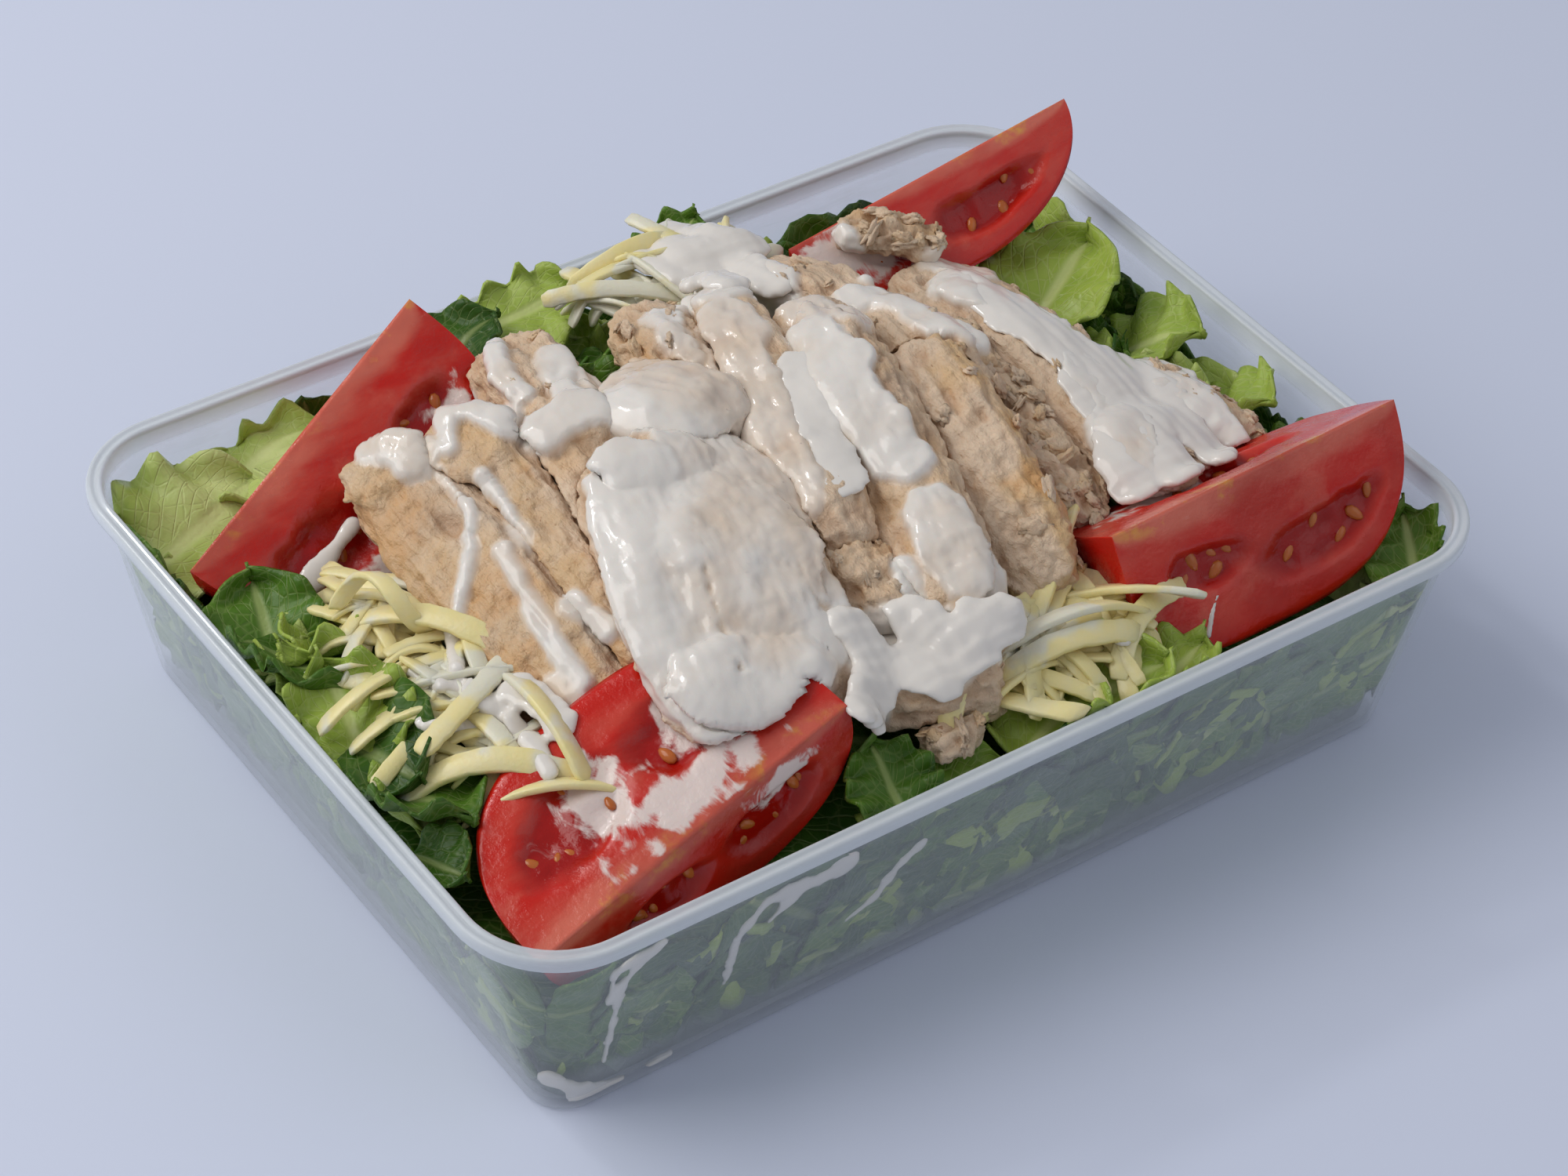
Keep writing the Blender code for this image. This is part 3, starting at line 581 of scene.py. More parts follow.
class SALAD_OT_tub(Operator):
    """Clear, slightly milky tub with a stepped rim"""
    bl_idname = "salad.tub"
    bl_label = "Tub"

    def execute(self, context):
        tub = context.scene.salad_tub
        length, depth, top = tub.rim_length / MM, tub.rim_depth / MM, tub.height / MM
        wall = tub.wall / MM

        def rim(inset, drop):
            return rounded_rectangle(length - 2 * inset, depth - 2 * inset,
                                     RIM_CORNER - inset, top - drop), 1.0

        def side(height, inset, share=0.0):
            return rounded_rectangle(*wall_section(tub, height, inset), height), share

        def base(inset, height):
            return rounded_rectangle(tub.base_length / MM - 2 * inset,
                                     tub.base_depth / MM - 2 * inset,
                                     BASE_CORNER - inset * 0.6, height), 0.0

        outside = [base(BASE_EDGE, 0), base(0.8, 0.08), base(0.36, 0.36), side(0.8, 0.08),
                   side(BASE_EDGE, 0)]
        outside += [side(height, 0) for height in (8, 16, 24, 31)]
        outside += [side(top - 3.4, 0), side(top - 3.1, -0.25), side(top - 0.9, -0.25, 1.0)]
        # Rings of the rolled rim: inset from its edge and drop from its top
        lip = [rim(*ring) for ring in (
            (1.2, 0.9), (0.9, 2.2), (0.2, 2.2), (0, 1.9), (0, 0.6), (0.15, 0.2), (0.45, 0),
            (0.8, 0.02), (1.0, 0.22), (1.5, 0.22), (1.7, 0.02), (2.0, 0), (2.3, 0.15), (2.42, 0.6))]
        inside = [side(top - 2.9, wall - 0.25, 0.5), side(top - 3.3, wall)]
        inside += [side(height, wall) for height in (31, 24, 16, 8)]
        inside += [side(BASE_EDGE + wall + 0.4, wall), base(BASE_EDGE * 0.6 + wall, wall + 0.35),
                   base(BASE_EDGE + wall + 0.4, wall + 0.1)]
        rings = outside + lip + inside
        count = len(rings[0][0])
        verts = np.concatenate([np.array(ring) for ring, share in rings])
        rim_share = np.concatenate([np.full(count, share) for ring, share in rings])
        faces = grid_faces(len(rings), count, closed=True)
        faces.append(tuple(reversed(range(count))))
        faces.append(tuple(range(len(verts) - count, len(verts))))
        obj = store("clear_tub", verts, faces, self.plastic(tub), values={"rim": rim_share})
        obj.data.set_sharp_from_angle(angle=math.radians(50))
        hand_over(obj, "clear_plastic", "tub")
        return {"FINISHED"}

    def plastic(self, tub):
        shading = Shading("clear_plastic")
        scuffs = shading.noise(60, 5, 0.7, shading.stretch((1, 1, 8)))
        haze = shading.band(scuffs, 0.45, 0.75, tub.haze, tub.haze + 0.07)
        facing = shading.add("LayerWeight", "Facing", {"Blend": 0.35})
        edge = shading.band(facing, 0.3, 1.0, 0.0, 0.35)
        rim = shading.times(shading.value("rim"), 0.5)
        shading.put(Base_Color=(*tub.colour, 1.0), Roughness=0.14, IOR=1.49,
                    Alpha=shading.plus(shading.plus(haze, edge), rim),
                    Normal=shading.bump(shading.noise(9, 2), 0.15, 0.4))
        return shading.mat


# Tomato wedges

WEDGES = {
    "tomato_wedge_left": dict(
        ridge=((-80.5, 31, 37), (-33, 49.5, 54)), fall=(0.37, -0.76, -0.48), angle=62,
        reach=(25, 24), ends=(2.2, 3.4)),
    "tomato_wedge_back": dict(
        ridge=((28, 39, 46), (80, 38.5, 55.5)), fall=(0.1, -0.76, -0.64), angle=56,
        reach=(16, 17), ends=(2.2, 2.0)),
    "tomato_wedge_right": dict(
        ridge=((26, -42, 48.5), (79, -41.5, 50.5)), fall=(0, -0.53, -0.85), angle=84,
        reach=(23, 20), ends=(4.0, 2.6)),
    "tomato_wedge_front": dict(
        ridge=((-77, -54, 31), (-25, -49, 47)), fall=(-0.28, 0.95, 0.1), angle=108,
        reach=(26.5, 15), ends=(2.6, 2.6)),
}
# Jelly pockets of each cut face: place along the ridge, place from ridge to skin, half sizes
POCKETS = {
    "tomato_wedge_left": (((0.30, 0.56, 0.22, 0.25), (0.76, 0.56, 0.15, 0.22)),
                          ((0.45, 0.5, 0.3, 0.2),)),
    "tomato_wedge_back": (((0.62, 0.55, 0.24, 0.24), (0.30, 0.52, 0.12, 0.2)),
                          ((0.5, 0.5, 0.3, 0.2),)),
    "tomato_wedge_right": (((0.66, 0.60, 0.26, 0.20), (0.27, 0.46, 0.15, 0.16)),
                           ((0.5, 0.5, 0.28, 0.2),)),
    "tomato_wedge_front": (((0.30, 0.52, 0.21, 0.27), (0.66, 0.52, 0.16, 0.24)),
                           ((0.72, 0.50, 0.17, 0.27), (0.36, 0.5, 0.15, 0.2))),
}
# Smears of dressing on each wedge's first and second cut face, in the same places
SMEARS = {
    "tomato_wedge_left": (((0.42, 0.90, 0.26, 0.16), (0.85, 0.62, 0.10, 0.22)), ()),
    "tomato_wedge_back": (((0.16, 0.45, 0.25, 0.6),), ()),
    "tomato_wedge_right": ((), ((0.3, 0.6, 0.3, 0.3),)),
    "tomato_wedge_front": (((0.60, 0.20, 0.36, 0.26), (0.40, 0.45, 0.14, 0.40),
                            (0.74, 0.5, 0.14, 0.40)),
                           ((0.74, 0.22, 0.16, 0.26),)),
}
STATIONS = 110
FACE_STEPS = 38
SKIN_STEPS = 32
POCKET_DEPTH = 1.5
SEEDS_A_POCKET = 6


class Wedge:
    """Shape of one wedge: its ridge line, the two cut faces and the skin between them."""

    def __init__(self, ridge, fall, angle, reach, ends):
        self.start, self.end = np.array(ridge[0], float), np.array(ridge[1], float)
        self.along = (self.end - self.start) / np.linalg.norm(self.end - self.start)
        first = np.array(fall, float)
        first -= self.along * first.dot(self.along)
        self.first = first / np.linalg.norm(first)
        side = np.cross(self.along, self.first)
        self.side = -side if side[2] > 0 else side
        self.turn, self.reach, self.ends = math.radians(angle), reach, ends

    def direction(self, share):
        return self.first * math.cos(self.turn * share) + self.side * math.sin(self.turn * share)

    def breadth(self, t):
        power = np.where(np.asarray(t) < 0.5, *self.ends)
        return np.maximum(1 - np.abs(2 * t - 1) ** power, 0) ** (1 / power)

    def outward(self, face):
        """Outward normal of a cut face."""
        normal = -self.side if face == 0 else np.cross(self.direction(1.0), self.along)
        return -normal if normal.dot(self.direction(0.5)) > 0 else normal

    def on_face(self, face, t, out):
        centre = self.start + (self.end - self.start) * t
        return centre + self.direction(face) * self.reach[face] * self.breadth(t) * out


def spot_mask(spots, t, out, waver, softness):
    """Soft union of ovals with a wavering outline."""
    best = np.zeros(len(t))
    for t0, out0, half_t, half_out in spots:
        reach = np.hypot((t - t0) / half_t, (out - out0) / half_out)
        best = np.maximum(best, smooth_step(0.0, softness, 1.08 - reach + waver))
    return best


class SALAD_OT_tomato(Operator):
    """Four tomato wedges with jelly pockets, seeds and smears of dressing"""
    bl_idname = "salad.tomato"
    bl_label = "Tomato Wedges"

    def execute(self, context):
        settings = context.scene.salad_tomato
        flesh = self.flesh(settings, context.scene.salad_dressing)
        seed_mat = self.seed_finish(settings)
        seed_shape = oval("tomato_seed", settings.seed_length / MM, 0.66, 0.36)
        for number, (name, sizes) in enumerate(WEDGES.items()):
            wedge = Wedge(**sizes)
            obj = self.body(name, wedge, number, flesh)
            hand_over(obj, "tomato", name)
            placed = scatter(name.replace("tomato_wedge", "seeds"), self.seeds(name, wedge, number),
                             [seed_shape], seed_mat)
            hand_over(placed, "tomato")
        discard([seed_shape])
        return {"FINISHED"}

    def body(self, name, wedge, number, mat):
        # One ring of points: ridge, down the first face, round the skin and up the second face
        face_outs = np.arange(1, FACE_STEPS + 1) / FACE_STEPS
        skin_shares = np.arange(1, SKIN_STEPS) / SKIN_STEPS
        outs = np.concatenate([[0], face_outs, np.ones(SKIN_STEPS - 1), face_outs[::-1]])
        shares = np.concatenate([[0], np.zeros(FACE_STEPS), skin_shares, np.ones(FACE_STEPS)])
        zones = np.concatenate([[2], np.zeros(FACE_STEPS), np.full(SKIN_STEPS - 1, 3),
                                np.ones(FACE_STEPS)])
        ring, rows = len(outs), STATIONS - 1
        stations = 0.5 - 0.5 * np.cos(math.pi * np.arange(1, STATIONS) / STATIONS)
        t = np.repeat(stations, ring)
        out, share, zone = np.tile(outs, rows), np.tile(shares, rows), np.tile(zones, rows)
        heading = np.array([wedge.direction(value) for value in shares])
        heading = np.tile(heading, (rows, 1))
        reach = mix(wedge.reach[0], wedge.reach[1], share) * wedge.breadth(t) * out
        places = wedge.start + (wedge.end - wedge.start) * t[:, None] + heading * reach[:, None]

        waver = 0.28 * rough_field(places, 6.0, number)
        streaky = 0.7 * rough_field(places * (1, 1, 1.5), 3.0, number + 40)
        jelly, cream, sink = np.zeros(len(t)), np.zeros(len(t)), np.zeros((len(t), 3))
        edge_on = np.minimum(1, 16 * t * (1 - t))
        lumps = field(places, 2.4, number + 9)
        for face in (0, 1):
            here = zone == face
            jelly[here] = spot_mask(POCKETS[name][face], t, out, waver, 0.5)[here]
            if SMEARS[name][face]:
                cream[here] = spot_mask(SMEARS[name][face], t, out, streaky, 1.1)[here]
            depth = (jelly * (POCKET_DEPTH + 0.6 * lumps) - cream * 0.3
                     + 0.15 * field(places, 5.0, 3))
            depth += 0.5 * np.maximum(0, (out - 0.94) / 0.06) ** 2
            sink += np.where(here, depth * edge_on, 0)[:, None] * wedge.outward(face)
        places = places - sink

        tips = [wedge.start + wedge.direction(0.5) * 0.4, wedge.end + wedge.direction(0.5) * 0.4]
        verts = np.concatenate([places, tips])
        uvs = np.concatenate([np.stack([t, out + np.where(zone == 3, share, 0)], 1),
                              [(0, 0.9), (1, 0.9)]])
        faces = grid_faces(rows, ring, closed=True)
        for last, row in ((len(places), 0), (len(places) + 1, rows - 1)):
            for i in range(ring):
                pair = (row * ring + i, row * ring + (i + 1) % ring)
                faces.append((*pair, last) if row else (pair[1], pair[0], last))
        obj = store(name.replace("tomato_wedge", "tomato"), verts, faces, mat, uvs,
                    {"jelly": np.append(jelly, (0, 0)), "cream": np.append(cream, (0, 0)),
                     "skin": np.append(zone == 3, (1, 1))})
        faced_out(obj.data)
        return obj

    def seeds(self, name, wedge, number):
        chance = random.Random(SEED + number)
        found = []
        for face, spots in enumerate(POCKETS[name]):
            normal = wedge.outward(face)
            for t0, out0, half_t, half_out in spots:
                for index in range(SEEDS_A_POCKET):
                    turn = (index + chance.random()) / SEEDS_A_POCKET * 2 * math.pi
                    radius = math.sqrt(chance.uniform(0.15, 0.6))
                    t = t0 + half_t * radius * math.cos(turn)
                    out = out0 + half_out * radius * math.sin(turn)
                    place = wedge.on_face(face, t, out) - normal * chance.uniform(1.3, 2.0)
                    heading = wedge.direction(face) + wedge.along * chance.uniform(-1.2, 1.2)
                    lean = normal + wedge.along * chance.uniform(-0.4, 0.4)
                    found.append(dict(place=place, matrix=frame_of(heading, lean),
                                      tone=chance.random(), size=chance.uniform(0.75, 1.15)))
        return found

    def flesh(self, settings, dressing):
        shading = Shading("tomato_flesh")
        flesh, core, skin = settings.flesh, settings.core, settings.skin
        out, jelly = shading.uv("Y"), shading.value("jelly")
        mottle = shading.noise(160, 4, 0.6)
        streaks = shading.noise(70, 4, 0.6, shading.stretch((1.0, 4.0, 1.0)))
        wander = shading.times(shading.noise(42, 4, 0.6), 1.5)
        streaked = shading.plus(shading.band(out, 0.02, 0.34, 1.0, 0.0),
                                shading.calc("SUBTRACT", shading.times(streaks, 0.7), 0.38))
        near_core = shading.plus(streaked, shading.calc("SUBTRACT", wander, 0.85))
        yellow = shading.times(shading.band(near_core, 0.6, 1.0), shading.band(mottle, 0.52, 0.66))
        spots = shading.band(shading.noise(120, 4, 0.6), 0.54, 0.70, 0.0, 0.55)
        dark = shading.band(shading.noise(34, 4, 0.6), 0.45, 0.65, 0.0, 0.45)
        wet_flesh = shading.blend(mottle, settings.jelly, scaled(settings.jelly, 1.5))
        smear = shading.noise(230, 5, 0.7, shading.stretch((1.0, 0.45, 1.0), (0, 0, 0.9)), 1.2)
        ragged = shading.plus(shading.value("cream"), shading.times(smear, 1.5))
        cream = shading.band(ragged, 1.02, 1.42)
        base = shading.layers(
            shading.blend(shading.band(streaks, 0.35, 0.7), flesh, between(flesh, core, 0.30)),
            (shading.band(near_core, 0.25, 1.0), core), (yellow, (0.80, 0.36, 0.08)),
            (spots, between(flesh, core, 0.7)), (dark, scaled(flesh, 0.6)),
            (shading.band(out, 0.80, 0.97), flesh), (shading.band(out, 0.965, 0.995), skin),
            (jelly, wet_flesh), (shading.value("skin"), skin),
            (cream, between(flesh, dressing.colour, 0.84)))
        wet = shading.band(shading.noise(240, 3), 0.4, 0.7, 0.10, 0.30)
        grain = shading.bump(shading.noise(900, 4, 0.65), 0.55, 0.22)
        shading.put(Base_Color=base, Specular_IOR_Level=0.42,
                    Roughness=shading.times(wet, shading.band(jelly, 0, 1, 1.0, 0.35)),
                    Normal=shading.bump(shading.noise(190, 3), 0.4, 0.6, grain))
        shading.glow(0.10, (0.004, 0.001, 0.0006))
        return shading.mat

    def seed_finish(self, settings):
        shading = Shading("tomato_seed")
        base = shading.blend(shading.value("tone"), scaled(settings.seed, 0.7), settings.seed)
        shading.put(Base_Color=shading.blend(shading.noise(900), base, (0.55, 0.10, 0.02)),
                    Roughness=0.15)
        return shading.mat


def frame_of(heading, normal):
    """Rotation with local X along a heading and local Z along a normal."""
    z = Vector(normal).normalized()
    x = Vector(heading)
    x = (x - z * x.dot(z)).normalized()
    return Matrix((x, z.cross(x), z)).transposed()


def oval(name, length, wide, high):
    """Small ovoid, pointed at one end."""
    bm = bmesh.new()
    bmesh.ops.create_uvsphere(bm, u_segments=10, v_segments=7, radius=0.5)
    for vert in bm.verts:
        narrow = 1 - 0.35 * (vert.co.x + 0.5)
        vert.co = Vector((vert.co.x, vert.co.y * wide * narrow, vert.co.z * high)) * length * MM
    obj = from_bmesh(name, bm)
    obj.data.shade_smooth()
    return obj


# Scattering with Geometry Nodes

def scatter_tree(group, mat):
    """Puts the group's shapes on points, turned and sized by the points' attributes."""
    tree = bpy.data.node_groups.new("scatter", "GeometryNodeTree")
    tree.interface.new_socket("Geometry", in_out="INPUT", socket_type="NodeSocketGeometry")
    sizing = tree.interface.new_socket("Piece Size", in_out="INPUT", socket_type="NodeSocketFloat")
    sizing.default_value = 1.0
    tree.interface.new_socket("Geometry", in_out="OUTPUT", socket_type="NodeSocketGeometry")

    def named(key, kind):
        return new_node(tree, "GeometryNodeInputNamedAttribute", {"Name": key},
                        data_type=kind)["Attribute"]

    start = new_node(tree, "NodeGroupInput")
    shapes = new_node(tree, "GeometryNodeCollectionInfo", {
        "Collection": group, "Separate Children": True, "Reset Children": True})
    size = new_node(tree, "ShaderNodeMath", {0: named("size", "FLOAT"), 1: start["Piece Size"]},
                    operation="MULTIPLY")
    turn = new_node(tree, "FunctionNodeEulerToRotation", {"Euler": named("turn", "FLOAT_VECTOR")})
    placed = new_node(tree, "GeometryNodeInstanceOnPoints", {
        "Points": start["Geometry"], "Instance": shapes["Instances"], "Pick Instance": True,
        "Instance Index": named("kind", "INT"), "Rotation": turn["Rotation"], "Scale": size[0]})
    real = new_node(tree, "GeometryNodeRealizeInstances", {"Geometry": placed["Instances"]})
    finish = new_node(tree, "GeometryNodeSetMaterial", {
        "Geometry": real["Geometry"], "Material": mat})
    new_node(tree, "NodeGroupOutput", {"Geometry": finish["Geometry"]})
    return tree, sizing.identifier


def scatter(name, spots, shapes, mat, piece_size=1.0):
    """One mesh of many copies: spots give place, matrix, size, tone and kind."""
    group = bpy.data.collections.new(name + "_shapes")
    for shape in shapes:
        group.objects.link(shape)
    obj = store(name, [spot["place"] for spot in spots], [], None, smooth=False)
    mesh = obj.data
    set_value(mesh, "size", [spot.get("size", 1.0) for spot in spots])
    for key in ("tone", "cream", "browned"):
        set_value(mesh, key, [spot.get(key, 0.0) for spot in spots])
    kinds = mesh.attributes.new("kind", "INT", "POINT")
    kinds.data.foreach_set("value", [spot.get("kind", 0) for spot in spots])
    turns = mesh.attributes.new("turn", "FLOAT_VECTOR", "POINT")
    angles = [tuple(spot["matrix"].to_euler()) for spot in spots]
    turns.data.foreach_set("vector", np.array(angles, np.float32).ravel())
    tree, size_input = scatter_tree(group, mat)
    modifier = obj.modifiers.new("scatter", "NODES")
    modifier.node_group = tree
    modifier[size_input] = piece_size
    bpy.context.view_layer.update()
    baked(obj)
    bpy.data.node_groups.remove(tree)
    bpy.data.collections.remove(group)
    if not obj.data.polygons:
        raise RuntimeError(f"{name} came out empty")
    return obj


# Dressing poured over the chicken: half-width in millimetres, body from thin film (0) to
# thick (1), and the places that it runs through, as seen in the camera's 2000 x 1500 frame
COATS = (
    (4.0, 0.45, ((470, 572), (505, 566), (530, 580))),
    (1.5, 0.7, ((600, 640), (602, 700), (588, 760), (580, 815), (572, 860))),
    (2.0, 0.75, ((640, 700), (682, 780), (712, 832), (742, 872))),
    (1.3, 0.6, ((560, 600), (600, 650))),
    (4.5, 0.2, ((715, 895), (760, 925), (800, 930))),
    (3.8, 1.0, ((562, 520), (610, 520), (655, 538))),
    (2.2, 1.0, ((572, 535), (574, 572))),
    (1.8, 0.75, ((615, 607), (645, 642), (662, 676), (670, 696))),
    (4.2, 0.9, ((700, 548), (738, 520), (785, 520), (828, 545))),
    (7.5, 0.75, ((815, 610), (822, 690), (845, 780), (885, 860))),
    (8.0, 0.40, ((890, 560), (940, 640), (970, 740), (1000, 840))),
    (6.0, 0.65, ((850, 860), (920, 905), (1000, 880), (1045, 820))),
    (2.6, 0.9, ((770, 800), (735, 770))),
    (4.4, 0.2, ((1000, 640), (1050, 740))),
    (6.5, 0.15, ((775, 480), (850, 480), (905, 500))),
    (2.6, 0.8, ((630, 432), (640, 475), (665, 505))),
    (3.2, 0.7, ((705, 455), (722, 500), (760, 520))),
    (2.0, 0.5, ((655, 392), (715, 398), (765, 432))),
    (3.0, 0.5, ((845, 405), (882, 452))),
    (5.0, 0.8, ((890, 372), (945, 365), (995, 388))),
    (5.4, 0.25, ((930, 410), (952, 480), (978, 560), (1010, 640))),
    (5.2, 0.9, ((1040, 425), (1090, 500), (1128, 555), (1150, 585))),
    (4.5, 0.3, ((1020, 385), (1085, 400))),
    (5.6, 0.5, ((1190, 650), (1225, 705), (1262, 765))),
    (2.6, 0.95, ((1150, 725), (1172, 765))),
    (3.0, 0.9, ((1075, 790), (1092, 850), (1110, 905))),
    (6.0, 0.5, ((1130, 820), (1200, 835), (1250, 800))),
    (1.9, 0.8, ((1072, 302), (1100, 328), (1104, 358))),
    (4.0, 0.7, ((1090, 378), (1160, 385), (1235, 432))),
    (2.4, 0.5, ((985, 300), (1050, 296))),
    (5.2, 0.7, ((1215, 360), (1300, 400), (1375, 450), (1420, 520), (1460, 600))),
    (5.6, 0.6, ((1300, 360), (1400, 395), (1470, 450), (1520, 530), (1560, 590))),
    (4.0, 0.4, ((1190, 340), (1240, 350))),
    (2.8, 0.4, ((1445, 620), (1500, 640))),
)
# Each slice's torn relief and browning, both from 0 to 1, and the side that is browned:
# 1 for left, -1 for right and 0 for neither in particular
SLICES = {
    "chicken_front_slab": (0.35, 0.45, 0),
    "chicken_smooth": (0.25, 0.4, 0),
    "chicken_curl_left": (0.75, 0.3, 1),
    "chicken_curl_mid": (0.85, 0.5, 1),
    "chicken_far_left": (0.35, 0.62, 1),
    "chicken_long_mid": (0.5, 0.5, 0),
    "chicken_long_left": (0.4, 0.4, 0),
    "chicken_second": (0.35, 0.75, 1),
    "chicken_third": (0.4, 0.45, 0),
    "chicken_browned": (0.5, 0.9, -1),
    "chicken_back": (0.35, 0.25, 0),
    "chicken_right_slab": (0.4, 0.3, 0),
    "chicken_shredded": (1.0, 0.5, 0),
    "chicken_crag": (1.0, 0.4, 0),
    "chicken_front_mass": (0.5, 0.3, 0),
    "chicken_right_end": (0.6, 0.7, 0),
    "chicken_chunk": (0.7, 0.5, 0),
    "chicken_scrap": (0.9, 0.3, 0),
    "chicken_shreds": (1.0, 0.6, 0),
}
# Number of loose flakes of torn meat on each slice
FLAKES = {"chicken_shredded": 60, "chicken_crag": 24, "chicken_scrap": 9, "chicken_chunk": 8,
          "chicken_right_end": 22, "chicken_back": 14, "chicken_shreds": 16, "chicken_curl_mid": 7,
          "chicken_browned": 8, "chicken_right_slab": 12, "chicken_curl_left": 7}
FLAKE_KINDS = 6
RELAX_ROUNDS = 8
COAT_WAVER = 2.4


def sight(px, py):
    """Ray from the camera through a place in its frame, in millimetres."""
    centre_x, centre_y = IMAGE_WIDTH / 2, IMAGE_WIDTH * 3 / 8
    heading = (Vector(CAMERA_RIGHT) * (px - centre_x) + Vector(CAMERA_UP) * (centre_y - py)
               - Vector(CAMERA_BACK) * FOCAL_PIXELS)
    return Vector(CAMERA_PLACE) / MM, heading.normalized()


def stepped(path, step):
    """Places along a path in the camera's frame."""
    for (x0, y0), (x1, y1) in zip(path, path[1:]):
        count = max(1, int(math.hypot(x1 - x0, y1 - y0) / step))
        for index in range(count + 1):
            yield mix(x0, x1, index / count), mix(y0, y1, index / count)


def laid(path, tree, step=8.0):
    """Points and normals where a path seen by the camera lies on the solids."""
    hits = []
    for px, py in stepped(path, step):
        hit, normal = tree.ray_cast(*sight(px, py))[:2]
        if hit is not None:
            hits.append((hit, normal))
    return hits


def flake_shape(name, number):
    """Small torn flake of meat, flat and uneven."""
    chance = random.Random(SEED + 90 + number)
    bm = bmesh.new()
    bmesh.ops.create_icosphere(bm, subdivisions=3, radius=1.0)
    obj = from_bmesh(name, bm)
    points = mesh_arrays(obj.data)[0] * MM
    sizes = (chance.uniform(1.4, 3.0), chance.uniform(0.7, 1.5), chance.uniform(0.5, 1.0))
    swell = (1 + 0.9 * rough_field(points * (1, 1.6, 1.6), 0.8, number)
             - 0.35 * np.abs(field(points, 0.45, number)))
    set_points(obj.data, points * swell[:, None] * sizes)
    obj.data.shade_smooth()
    return obj


def on_surface(chance, node, count, least_rise):
    """Random points and normals on the upward faces of a CAD node, in millimetres."""
    mesh = NODES[node].data
    faces = [face for face in mesh.polygons if face.normal.z > least_rise]
    areas = [face.area for face in faces]
    found = []
    for face in chance.choices(faces, areas, k=count):
        corners = [mesh.vertices[index].co / MM for index in face.vertices]
        a, b = sorted((chance.random(), chance.random()))
        place = corners[0] * a + corners[1] * (b - a) + corners[2] * (1 - b)
        found.append((place, face.normal.copy()))
    return found


